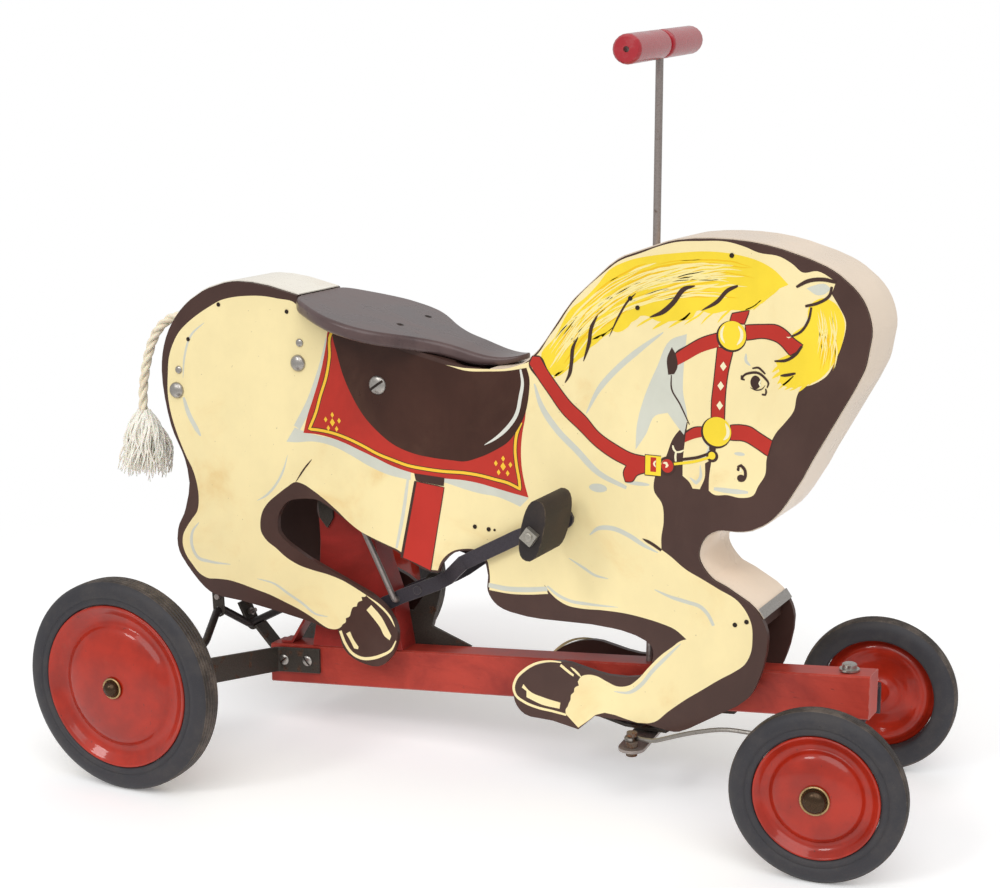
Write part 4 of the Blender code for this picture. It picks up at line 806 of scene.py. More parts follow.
# Dark lines and spots: mane, ear, bit, eye, nostril, mouth and the edges of the metal.
DARK = (
    Stroke((110.6, 328, 101, 317, 88.8, 300), 1.8),
    Stroke((506, 283, 516, 279, 527, 273), 3.4, 0.1, 0.8),
    Stroke((432, 486, 426.6, 475, 425, 459.4, 422.8, 447, 417.8, 437.5), 4),
    Stroke((453.8, 510.3, 446.9, 497, 444.4, 481, 438.4, 461.6), 4),
    Stroke((495, 534.4, 486.9, 526.6, 478, 512.5, 466.6, 489), 2.2),
    Stroke((557.8, 545.3, 546.9, 542, 534.4, 526.6, 523.4, 517, 510.3, 511.3), 5),
    Stroke((602, 547.8, 592, 543, 581, 531, 565, 521.3), 4, 0.5, 0.1),
    Stroke((661, 549.7, 672, 556, 687, 558.4, 700, 556.5), 3.8, 0.6, 0.8),
    Stroke((696, 552, 694.4, 544, 682.8, 535.5, 670.5, 531.8), 3, 0.8, 0.8),
    Stroke((676.6, 531, 674, 518, 667, 507, 656.5, 501), 2.6, 0.8, 0.6),
    Stroke((641.3, 476.4, 653, 478, 662, 484, 668.5, 493), 3, 0.5, 0.8),
    Stroke((647.8, 462.5, 656, 464, 663, 466), 3, 0.3, 0.5),
    Stroke((534.4, 454.7, 535, 440.6, 543.8, 426.6, 554.7, 406), 1.6, 0.6, 0.6),
    Patch((240, 325, 277, 323.8, 276, 314.4, 242, 317)),
    Stroke((241.5, 316, 233, 275, 223.5, 229), 3.2, 1, 1),
    Patch((529.7, 471.9, 531, 454.7, 537.5, 456, 540.6, 462.5, 539, 475, 534.4, 482.8)),
    Stroke((608.5, 456, 610, 459.5, 617, 463, 625, 463.5, 632, 459, 635.8, 454, 634.5, 449.5), 2.5,
        0.7, 0.5),
    Stroke((608.2, 460, 608, 456.2, 611.5, 455.8), 2, 0.8, 0.8),
    Stroke((618.8, 467.6, 625.6, 468.6, 629, 466, 632.4, 463), 2.1, 0.6, 0.7),
    Spot(622.6, 454, 10.5, 13.5), Stroke((617, 448.5, 624, 446.4, 630, 448.4, 632.6, 452), 1.3),
    Stroke((633, 448.6, 633.8, 445.4, 633, 442.4, 629.4, 442.6), 2, 0.6, 0.9),
    Stroke((607.6, 364.5, 607, 368, 610, 369.6, 613.6, 366, 614.8, 361, 613, 355.5, 607.6, 354.6),
        3.2, 0.6, 1),
    Spot(610.4, 356.6, 8.6, 7.4), Spot(607.2, 365.4, 3.4), Spot(596.6, 497.6, 31.5, 31),
    Spot(583, 400.3, 32, 32), Stroke((533, 365.6, 549, 370, 564, 373.4, 577, 379), 3, 0.6, 0.8),
    Spot(579.6, 376.2, 12.5, 12.5), Stroke((580, 388, 579.5, 382), 7, 1, 1),
    Loop(flat(oval(531.5, 361.3, 16, 17, 12)), 2.6),
    Patch((507.3, 371.4, 524.8, 371.4, 524.8, 349.4, 507.3, 349.4)))
# The bridle's round plates, the buckle, the bit's rod and its end.
GOLD = (
    Spot(597.4, 498.6, 28.6, 28.6), Spot(584, 401.4, 29.6, 29.6),
    Patch((508, 370.6, 525, 370.6, 525, 350.4, 508, 350.4)),
    Stroke((539, 364.2, 549, 366.2, 560, 368.6, 576.6, 374.6), 2.8, 0.9, 0.9),
    Spot(579.2, 376.6, 7.4, 7.8))
# Red inside the buckle and the ring.
BUCKLE = (
    Patch((513.6, 369, 519.8, 369, 519.8, 354, 513.6, 354)), Spot(531.9, 361.6, 13, 14))
# Pale shines, the diamonds on the strap, and the eye's and nostril's lights.
PALE = (
    Stroke((592.5, 410.5, 595.4, 404.5, 595, 398, 591, 393.5), 3.4),
    Stroke((603.4, 508.5, 607, 502.5, 606.6, 495.5, 602.5, 489.5), 3.2),
    Stroke((589, 508, 586.4, 502, 587, 495, 590, 490.5), 2.6),
    Patch((589, 472.2, 592.4, 467.5, 589, 462.8, 585.6, 467.5)),
    Patch((586.8, 452.5, 590.2, 447.8, 586.8, 443.1, 583.4, 447.8)),
    Patch((586.2, 432.7, 589.6, 428, 586.2, 423.3, 582.8, 428)),
    Stroke((519.6, 366, 517.4, 362.5, 519.4, 359), 2.2),
    Stroke((527, 364, 530.6, 364.4, 532, 362, 530, 359.6), 2.8),
    Stroke((541, 367, 540.4, 372, 541.2, 377.5), 2.2, 0.9, 0.8),
    Stroke((541.2, 376.8, 538.4, 379.5, 537.4, 383.4), 2.2, 0.8, 0.6),
    Stroke((541.2, 376.8, 545, 377.2, 549.6, 379.6), 2, 0.8, 0.4),
    Stroke((628.5, 456.8, 626.6, 453.4, 628.4, 450.4), 1.9, 0.5, 0.9), Spot(609.8, 364.6, 2.6, 4),
    Stroke((652.6, 500.8, 655, 500.4, 657.6, 501.4), 1.4))
# The shine along the saddle's edge.
FLAP_SHINE = (
    Stroke((367, 448, 369.4, 434, 367, 418.8, 362.5, 400, 351.6, 384.4, 337.5, 371.9, 325, 364), 4,
        0.5, 0.1),)


def cluster(x: float, z: float) -> tuple[Patch, ...]:
    """The plain blanket ornament: five diamonds round a middle one.

    Args:
        x: Its middle forward, in mm.
        z: Its middle up, in mm.

    Returns:
        The diamonds.
    """
    spots = [(0, 0, 3.2, 4.6)] + [
        (9.0 * math.cos(math.radians(a)), 8.4 * math.sin(math.radians(a)), 2.2, 3.2)
        for a in (18, 90, 162, 234, 306)]
    return tuple(Patch((x + dx, z + dz + tall, x + dx + wide, z + dz,
                        x + dx, z + dz - tall, x + dx - wide, z + dz))
                 for dx, dz, wide, tall in spots)


def streaks(count: int, seed: int) -> tuple[Stroke, ...]:
    """Fine brush marks that follow the mane and the forelock.

    Args:
        count: How many marks on the mane; the forelock has a quarter more.
        seed: Seed of their places.

    Returns:
        The marks.
    """
    rng = random.Random(seed)
    rows = ((405, 466, 430, 500, 470, 534, 520, 556, 580, 562, 628, 556),
            (398, 458, 420, 486, 456, 512, 500, 532, 556, 544, 610, 542),
            (415, 462, 446, 500, 486, 528, 540, 548, 590, 556, 636, 553))
    out = []
    for _ in range(count):
        row = smooth_run(rng.choice(rows), False)
        start = rng.randrange(0, len(row) - 7)
        part = row[start:start + rng.randint(4, 8)]
        off = rng.uniform(-11, 11)
        run = flat((px - off * 0.35, pz + off + k * rng.uniform(0.1, 0.5))
                   for k, (px, pz) in enumerate(part))
        out.append(Stroke(run, rng.uniform(0.7, 2.3), 0.05, 0.05))
    for _ in range(count // 4):
        lift = rng.uniform(0, 30)
        x = rng.uniform(683, 701)
        run = (x, 532 - lift, x + 3, 516 - lift, x + 1, 500 - lift)
        out.append(Stroke(run, rng.uniform(0.6, 1.2), 0.05, 0.05))
    return tuple(out)


def zigzag(run: Run, reach: float, seed: int) -> tuple[Stroke, ...]:
    """Tapered brush marks that fray an edge, pointing down and back.

    Args:
        run: The edge as x, z in mm.
        reach: Length of a mark, in mm.
        seed: Seed of their lengths.

    Returns:
        The marks.
    """
    rng = random.Random(seed)
    out = []
    for x, z in smooth_run(run, False)[::2]:
        back = reach * rng.uniform(0.55, 1.1)
        drop = reach * rng.uniform(0.3, 0.75)
        out.append(Stroke((x + 8, z + 9, x + 2, z + 3, x - back * 0.5, z - drop * 0.35,
                           x - back, z - drop), rng.uniform(1.6, 3.4), 0.5, 0.02))
    return tuple(out)


CREAM = Paint("cream artwork paint on the panel", "f9e7b0", stain="dfa94f", stain_share=0.42,
              mottle=0.05, specks=0.5)
GREY = Paint("thin grey shading paint", "d3d4c6", mottle=0.08, roughness=0.45)
GOLDEN = Paint("yellow artwork paint", "fadb3a", mottle=0.08)
STREAK = Paint("pale yellow brush marks", "fbeaa0", mottle=0.04)
DEEP_STREAK = Paint("deep yellow brush marks", "f5c41f", mottle=0.06)
RED = Paint("red artwork paint", "bf352a", stain="862a22", stain_share=0.35, mottle=0.10)
STRAP_RED = Paint("strap red artwork paint", "be3329", mottle=0.10)
SADDLE = Paint("dark saddle paint", "43281f", stain="573c2f", stain_share=0.5, mottle=0.2,
               roughness=0.33)
OUTLINE = Paint("brown outline paint", "45302a", mottle=0.12)
PALE_PAINT = Paint("pale cream highlight paint", "f6edc6", mottle=0.04)
LINE = Paint("yellow line paint", "fbc93c", mottle=0.06)
SHINE = Paint("grey saddle highlight paint", "e0e0d5", mottle=0.08)


class Artwork:
    """The painted horse, saddle and bridle on both panels."""

    MANE_EDGE = (393, 456, 407.8, 443.8, 428, 459.4, 456, 484.4, 493.8, 507, 537.5, 508,
                 575, 517, 612.5, 523, 637.5, 541)
    FORELOCK_EDGE = (646, 470, 650, 455, 664, 451, 685, 462)

    def coats(self) -> tuple[Coat, ...]:
        """Returns:
            The coats from the panel outwards.
        """
        fray = zigzag(self.MANE_EDGE, 15, 4) + zigzag(self.FORELOCK_EDGE, 8, 5)
        edge, line = (Stroke(BLANKET_LINE, wide, 1, 1, 60) for wide in (5.0, 3.2))
        return (
            Coat("painted_body", CREAM, (Patch(BODY),) + HOOF_TRIM, 1),
            Coat("grey_shading", GREY, SHADES, 2),
            Coat("mane", GOLDEN, MANE + fray, 3),
            Coat("mane_deep_streaks", DEEP_STREAK, streaks(60, 21), 4),
            Coat("mane_streaks", STREAK, streaks(84, 8), 5),
            Coat("blanket", RED, BLANKET, 5),
            Coat("blanket_line_edge", OUTLINE, (edge,), 6),
            Coat("blanket_line", LINE, (line,) + cluster(138, 372) + cluster(347, 343), 7),
            Coat("saddle_flap", SADDLE, FLAP, 8),
            Coat("saddle_highlight", SHINE, FLAP_SHINE, 9),
            Coat("strap_edges", OUTLINE, tuple(Loop(s.run, 2.2) for s in STRAPS), 9),
            Coat("straps", STRAP_RED, STRAPS, 10),
            Coat("outlines", OUTLINE, DARK, 11),
            Coat("buckles", GOLDEN, GOLD, 12),
            Coat("buckle_slots", STRAP_RED, BUCKLE, 13),
            Coat("pale_highlights", PALE_PAINT, PALE, 14))

    def paint(self) -> int:
        """Lays every coat on both panels and says how many pieces that makes."""
        return len([coat.lay(side) for coat in self.coats() for side in Side])


def bands(rows: int, sides: int, base: int = 0, ring: bool = False) -> Faces:
    """The faces between rows of points, each row a closed ring.

    Args:
        rows: How many rows.
        sides: Points in a row.
        base: Number of the first point.
        ring: Whether the last row joins the first.

    Returns:
        The four-sided faces, row by row.
    """
    faces: Faces = []
    for row in range(rows if ring else rows - 1):
        a, b = base + row * sides, base + (row + 1) % rows * sides
        for i in range(sides):
            j = (i + 1) % sides
            faces.append((a + i, a + j, b + j, b + i))
    return faces


def turned(name: str, profile: Sequence[Point], at: Vector, out: Vector, material: Material,
           sides: int, ring: bool = False) -> Piece:
    """Turns a profile about an axis, as on a lathe.

    Args:
        name: The piece's name.
        profile: (height along the axis, radius) pairs in mm.
        at: The axis's foot in metres.
        out: The axis's direction.
        material: The piece's material.
        sides: Facets round it.
        ring: Whether the profile is a loop, as for a tyre.

    Returns:
        The piece.
    """
    turn = out.to_track_quat("Z", "Y").to_matrix()
    rounds = [math.tau * i / sides for i in range(sides)]
    corners = [at + turn @ Vector((radius * math.cos(a), radius * math.sin(a), high)) * MM
               for high, radius in profile for a in rounds]
    faces = bands(len(profile), sides, ring=ring)
    if not ring:
        faces.append(tuple(range(len(corners) - sides, len(corners))))
    return mesh_piece(name, corners, faces, material, True)


@dataclass(frozen=True)
class Seat:
    """The board seat, worn round along its edges and thin at the nose.

    half is its half width along x; its underside slopes down from the rear
    and curls up again at the nose.
    """

    half: tuple[Point, ...] = (
        (96.6, 43), (100, 54), (106, 61), (116, 68), (130, 77), (145, 85), (160, 90.5), (174, 92),
        (188, 91.5), (202, 87.5), (213, 81), (225, 71), (240, 57), (254, 46.5), (267, 39.5),
        (280, 36), (295, 34), (310, 31.5), (323, 28), (335, 23), (344, 17.5), (350, 12),
        (353.5, 6), (354.6, 2))
    thick: float = 15.0
    nose_thick: float = 6.0
    taper_from: float = 285.0
    edge: float = 5.0
    rear: Point = (96.0, 493.7)
    slope: float = 0.235
    gap: float = 0.35
    curl_from: float = 290.0
    curl: float = 0.0045

    def under(self, x: float) -> float:
        """The underside's height at x, in mm."""
        line = self.rear[1] - self.slope * (x - self.rear[0]) + self.gap
        return line + (self.curl * (x - self.curl_from) ** 2 if x > self.curl_from else 0.0)

    def fit(self, wood: Material) -> None:
        """Makes the seat.

        Args:
            wood: Its worn paint.
        """
        rows = smooth_run(flat(self.half), False, 80, 4)
        nose = self.half[-1][0]
        turns = (0, 18, 36, 54, 72, 90)
        corners: list[Vector] = []
        for x, half in rows:
            share = max(0.0, (x - self.taper_from) / (nose - self.taper_from))
            share = share * share * (3 - 2 * share)
            thick = self.thick + (self.nose_thick - self.thick) * share
            low = self.under(x)
            r = min(self.edge, thick * 0.45, half * 0.8)
            for quarter, (sy, z) in enumerate(((1, low + thick - r), (-1, low + thick - r),
                                               (-1, low + r), (1, low + r))):
                for turn in turns:
                    a = math.radians(90 * quarter + turn)
                    corners.append(placed(x, sy * (half - r) + r * math.cos(a),
                                          z + r * math.sin(a)))
        around = 4 * len(turns)
        faces: Faces = [tuple(range(around)),
                        tuple(range(len(corners) - around, len(corners)))[::-1]]
        faces += [(f[0], f[3], f[2], f[1]) for f in bands(len(rows), around)]
        seat = mesh_piece("worn_seat_board", corners, faces, wood, True)
        round_shading(seat.data, 50.0)
        settle(seat, "frame", "seat")


@dataclass(frozen=True)
class Wheel:
    """A pressed red disc, its rubber tyre and the cap on the axle's end.

    foot is the tyre's inner face on the axle, in the drawing's mm.  Sections
    are pairs of a height out along the axle and a radius.
    """

    name: str
    body: str
    cap_body: str
    foot: Triple
    out: Triple
    radius: float
    width: float
    disc: float
    hub_in: float
    cap_at: float
    cap_radius: float
    bore: float
    sides: int = 96
    grooves: int = 5
    shoulder: float = 5.6
    groove_deep: float = 1.5

    def tyre_profile(self) -> tuple[list[Point], int, int]:
        """The tyre's section, with real grooves in the tread.

        Returns:
            The loop, and the first and last row of the tread.
        """
        r, w, low = self.radius, self.width, self.disc + 0.3
        side = [(4.0, low), (1.0, low + 1.2), (0.1, low + 4), (0.0, (low + r) / 2),
                (0.9, r - 8.5), (2.4, r - 4.8), (4.2, r - 2.3)]
        loop = list(side)
        first = len(loop) - 1
        step = (w - 2 * self.shoulder) / self.grooves
        for i in range(self.grooves):
            at = self.shoulder + step * (i + 0.5)
            top = r - 1.5 * ((at - w / 2) / (w / 2)) ** 2
            bottom = top - self.groove_deep
            loop += [(at - step * 0.5 + 0.25, top - 0.1), (at - 0.75, top), (at - 0.45, bottom),
                     (at + 0.45, bottom), (at + 0.75, top)]
        loop.append((w - self.shoulder, r - 1.3))
        last = len(loop) - 1
        loop += [(w - h, q) for h, q in reversed(side[3:])]
        loop += [(w - h, low + q) for h, q in ((0.15, 8.6), (1.1, 7.8), (1.1, 6.8), (0.2, 6.0),
                                               (0.5, 3), (1.6, 0.8), (4.0, 0))]
        return loop, first, last

    def disc_profile(self) -> list[Point]:
        """The disc's section.

        Returns:
            The loop: hub, pressed back, lip, then the front's channel and dome.
        """
        r, w = self.disc, self.width
        back = ((4.6, 0.4), (7, 0.6), (11, 0.71), (13.5, 0.77), (13, 0.86), (9, 0.92),
                (7.5, 0.97), (7.5, 1))
        front = ((1.6, 0.962), (3.0, 0.945), (3.7, 0.93), (6.4, 0.895), (8.6, 0.85), (9.4, 0.80),
                 (9.3, 0.765), (8.4, 0.742), (6.2, 0.722), (3.9, 0.69), (2.0, 0.62), (0.5, 0.52),
                 (-0.6, 0.4), (-1.3, 0.25), (-1.6, 0.16))
        return ([(-self.hub_in, self.bore), (-self.hub_in, 7.8), (-self.hub_in + 0.7, 8.5),
                 (w - 9, 9.5), (w - 5, 12)] + [(w - h, r * share) for h, share in back]
                + [(w - 2.2, r), (w - 1.3, r - 0.5), (w - 1.0, r - 1.4)]
                + [(w - h, r * share) for h, share in front] + [(w + 1.6, self.bore)])

    def fit(self, enamel: Material, wall: Material, tread: Material, bronze: Material,
            brass: Material) -> None:
        """Makes the wheel and its cap.

        Args:
            enamel: The disc's red enamel.
            wall: Rubber of the side walls.
            tread: Rubber of the tread.
            bronze: The cap's dark metal.
            brass: The cap's bright rim.
        """
        end, side = self.name.split("_")
        at, out = placed(*self.foot), Vector(self.out).normalized()
        loop, first, last = self.tyre_profile()
        tyre = turned(f"moulded_tyre_{self.name}", loop, at, out, wall, self.sides, True)
        tyre.data.materials.append(tread)
        for face in tyre.data.polygons:
            if first <= face.index // self.sides < last:
                face.material_index = 1
        disc = turned(f"pressed_disc_{self.name}", self.disc_profile(), at, out, enamel,
                      self.sides, True)
        settle(tyre, self.body, f"{self.name}_tyre")
        settle(disc, self.body, f"{self.name}_disc")
        r = self.cap_radius
        seat = at + out * self.cap_at * MM
        rim = [(0, r - 3.5), (0, r - 0.4), (0.5, r), (1.5, r), (2.2, r - 0.6), (2.4, r - 1.4),
               (1.7, r - 2.2), (1.2, r - 3.5)]
        knob = [(0.4, r - 2.6), (2.0, r - 2.7), (4.6, r - 3.3), (6.8, r - 4.5),
                (8.6, (r - 2) * 0.5), (9.5, (r - 2) * 0.22), (9.7, 0.3)]
        settle(turned(f"cap_rim_{self.name}", rim, seat, out, brass, 40, True),
               self.cap_body)
        settle(turned(f"cap_knob_{self.name}", knob, seat, out, bronze, 40),
               self.cap_body, f"{end}_cap_{side}")


FRONT_MIDDLE = Vector((717.98, 0.33, 85.3))
FRONT_WAY = Vector((0.0941, -0.99556, 0))  # to the right along the front axle, as packed


def wheels() -> tuple[Wheel, ...]:
    """Returns:
        The four wheels; the front pair stands turned to the rest angle.
    """
    made = [Wheel(f"rear_{tag}", body, "crank", (0, side * 236.4, 114.3), (0, side, 0),
                  114.3, 32.3, 88.4, 28.8, 34.7, 11.5, 4.9)
            for side, tag, body in ((-1, "right", "crank"), (1, "left", "left_wheel"))]
    for side, tag in ((1, "right"), (-1, "left")):
        out = FRONT_WAY * side
        made.append(Wheel(f"front_{tag}", f"front_wheel_{tag}", "front_truck",
                          tuple(FRONT_MIDDLE + out * 144.4), tuple(out), 85.3, 25.0, 61.0, 12.0,
                          27.4, 14.6, 4.3))
    return tuple(made)


@dataclass(frozen=True)
class Fastener:
    """A small head on a face; radius and height are in mm, slotted in degrees."""

    name: str
    x: float
    y: float
    z: float
    radius: float
    height: float
    slotted: float | None
    out: Triple
    domed: bool = True

    SLOT_HALF = (0.93, 0.13)  # shares of the radius
    SLOT_TOP, SLOT_END = 1.03, 0.62  # shares of the height

    def fit(self, metal: Material, dark: Material) -> None:
        """Makes the head, and its slot if it has one.

        Args:
            metal: Material of the head.
            dark: Material of the slot's shadowed bottom.
        """
        r, h = self.radius, self.height
        profile = [(0, r), (h * 0.7, r), (h, r * 0.88)]
        if self.domed:
            profile = [(0, r)] + [
                (h * math.sin(math.radians(a)), r * math.cos(math.radians(a)))
                for a in (12, 26, 40, 54, 68, 80)] + [(h, r * 0.05)]
        out = Vector(self.out).normalized()
        at = placed(self.x, self.y, self.z)
        settle(turned(self.name, profile, at, out, metal, 28), "frame")
        if self.slotted is None:
            return
        # The slot is a near-black sheet laid over the head: painted shade standing for the slot's
        # recess.
        turn = out.to_track_quat("Z", "Y").to_matrix()
        a = math.radians(self.slotted)
        along = Vector((math.cos(a), math.sin(a), 0)) * (r * self.SLOT_HALF[0])
        over = Vector((-math.sin(a), math.cos(a), 0)) * (r * self.SLOT_HALF[1])
        ends = ((-1, self.SLOT_END), (-0.5, self.SLOT_TOP), (0.5, self.SLOT_TOP),
                (1, self.SLOT_END))
        corners = [at + turn @ (along * u + over * v + Vector((0, 0, h * high))) * MM
                   for u, high in ends for v in (-1, 1)]
        faces = [(2 * i, 2 * i + 2, 2 * i + 3, 2 * i + 1) for i in range(3)]
        settle(mesh_piece(self.name + "_slot", corners, faces, dark), "frame")


class Hardware:
    """Nails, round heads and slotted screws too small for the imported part."""

    NAILS = ((-8, 493.5), (82, 491), (-50.6, 451.6), (595, 577), (489, 529), (497, 520),
             (313.5, 274), (330, 273), (607.8, 205), (620, 209.7))
    HEADS = (  # name, x, y, z, radius, height, slot
        ("seat_rivet_{}", 97.8, NAIL_FACE_Y, 457.5, 4.6, 2.4, None),
        ("strap_screw_{}_0", 50.5, STRAP_FACE_Y, 79.8, 6.4, 2.6, 40),
        ("strap_screw_{}_1", 82.0, STRAP_FACE_Y, 82.7, 6.4, 2.6, 130),
        ("rump_rivet_{}", -65, NAIL_FACE_Y, 415.5, 4.5, 2.2, None),
        ("rump_head_{}", -68.6, HEAD_FACE_Y, 391.7, 9.4, 5.6, None),
        ("post_head_{}", 95.25, HEAD_FACE_Y, 434.8, 9.4, 5.6, None),
        ("seat_head_{}", 195.6, HEAD_FACE_Y, 418.0, 10.4, 3.8, 35))
    SEAT_SCREWS = ((211, -21.8, 481.5, 25), (209.5, 44.3, 481.85, 85))
    SEAT_UP = (0.23, 0, 0.97)
    BEAM_BOLTS = (92.0, 262.0)
    BEAM_DOWN = (0.09, 0, -1)

    def __init__(self, bright: Material, dark: Material) -> None:
        """Keeps the two metals.

        Args:
            bright: Dull plated steel.
            dark: Near-black rusty steel.
        """
        self.bright = bright
        self.dark = dark

    def fit(self) -> int:
        """Fits every small fastener.

        Returns:
            How many were fitted.
        """
        nails: list[Fastener] = []
        heads: list[Fastener] = []
        for side in Side:
            tag, out = side.name.lower(), (0, side.value, 0)
            face = side.value * NAIL_FACE_Y
            nails += [Fastener(f"nail_{tag}_{i}", x, face, z, 2.4, 0.3, None, out, False)
                      for i, (x, z) in enumerate(self.NAILS)]
            nails.append(Fastener(f"small_nail_{tag}", 337, face, 273, 1.4, 0.3, None, out,
                                  False))
            heads += [Fastener(name.format(tag), x, side.value * y, *rest, out)
                      for name, x, y, *rest in self.HEADS]
        nails += [Fastener(f"seat_screw_{i}", x, y, z, 4.6, 1.2, slot, self.SEAT_UP)
                  for i, (x, y, z, slot) in enumerate(self.SEAT_SCREWS)]
        nails += [Fastener(f"beam_bolt_{i}", x, 0, 49.8 + 0.0917 * (x - 30.7) - 0.2, 5.5, 2.4,
                           None, self.BEAM_DOWN) for i, x in enumerate(self.BEAM_BOLTS)]
        for head in nails:
            head.fit(self.dark, self.dark)
        for head in heads:
            head.fit(self.bright, self.dark)
        return len(nails) + len(heads)


@dataclass(frozen=True)
class Tail:
    """A twisted cotton rope through the rump and its frayed tassel, in mm."""

    line: tuple[Point, ...] = (
        (-63.175, 456.5), (-81, 466), (-99.4, 469), (-111, 463.9), (-122.8, 454.9), (-130.3, 445),
        (-136.6, 432.7), (-142.4, 416.9), (-146.8, 399.9), (-149.7, 384.1), (-151.1, 368.4),
        (-151.1, 350))
    radius: float = 5.75
    pitch: float = 46.0
    sides: int = 10
    strands: int = 280
    tassel_top: float = 355.0
    tassel_foot: float = 270.0
    tassel_neck: float = 5.5
    tassel_flare: float = 29.0
    tassel_steps: int = 9

    def centre(self) -> list[Vector]:
        """The rope's centreline in metres."""
        return [placed(x, 0, z) for x, z in smooth_run(flat(self.line), False, 80, 10)]

    def rope(self, cotton: Material) -> Piece:
        """Lays three strands round the centreline.

        Args:
            cotton: The cord's material.

        Returns:
            The rope as one mesh.
        """
        centre = self.centre()
        last = len(centre) - 1
        strand_r = self.radius * 0.53
        offset = self.radius - strand_r
        across = Vector((0, 1, 0))
        rounds = [math.tau * k / self.sides for k in range(self.sides)]
        corners: list[Vector] = []
        faces: Faces = []
        for strand in range(3):
            gone = 0.0
            base = len(corners)
            for i, p in enumerate(centre):
                along = (centre[min(i + 1, last)] - centre[max(i - 1, 0)]).normalized()
                if i:
                    gone += (p - centre[i - 1]).length / MM
                up = along.cross(across).normalized()
                turn = math.tau * (gone / self.pitch + strand / 3)
                mid = p + (across * math.cos(turn) + up * math.sin(turn)) * offset * MM
                corners += [mid + (across * math.cos(c) + up * math.sin(c)) * strand_r * MM
                            for c in rounds]
            faces += bands(len(centre), self.sides, base)
            faces.append(tuple(range(base, base + self.sides))[::-1])
            faces.append(tuple(range(len(corners) - self.sides, len(corners))))
        return mesh_piece("twisted_tail_rope", corners, faces, cotton, True)

    def tassel(self, cotton: Material) -> Piece:
        """Hangs loose wavy strands from the rope's end.

        Args:
            cotton: The strands' material.

        Returns:
            The tassel as one mesh.
        """
        rng = random.Random(11)
        corners: list[Vector] = []
        faces: Faces = []
        sides = 5
        for _ in range(self.strands):
            a = rng.uniform(0, math.tau)
            out = math.sqrt(rng.random())
            foot = self.tassel_foot + rng.uniform(0, 20) + 9 * abs(math.sin(3 * a))
            wave = rng.uniform(0.8, 3.2)
            phase = rng.uniform(0, math.tau)
            thick = rng.uniform(0.8, 1.4)
            base = len(corners)
            for i in range(self.tassel_steps + 1):
                t = i / self.tassel_steps
                z = self.tassel_top + (foot - self.tassel_top) * t
                spread = self.tassel_neck + self.tassel_flare * (1 - (1 - t) ** 2.4)
                x = (self.line[-1][0] + 3 * math.sin(math.pi * t) + spread * out * math.cos(a)
                     + wave * math.sin(phase + 9 * t))
                y = spread * 0.55 * out * math.sin(a) + wave * math.cos(phase + 8 * t)
                r = thick * (1 - 0.5 * t ** 4)
                corners += [placed(x + r * math.cos(c), y + r * math.sin(c), z)
                            for c in (math.tau * k / sides for k in range(sides))]
            faces += [(f[1], f[0], f[3], f[2])
                      for f in bands(self.tassel_steps + 1, sides, base)]
            faces.append(tuple(range(len(corners) - sides, len(corners)))[::-1])
        return mesh_piece("frayed_tail_tassel", corners, faces, cotton, True)

    def fit(self, cotton: Material, loose: Material) -> None:
        """Makes the tail: the twisted rope and its tassel.

        Args:
            cotton: The cord's material.
            loose: The paler material of the loose strands.
        """
        rope = settle(self.rope(cotton), "frame", "tail_rope")
        tassel = settle(self.tassel(loose), "frame", "tail_tassel")
        centre = self.centre()


PLATED_NUT = Metal("plated square nut", "b0aba0", 0.75, 0.36, 0.35, "7b6a4c", 7)


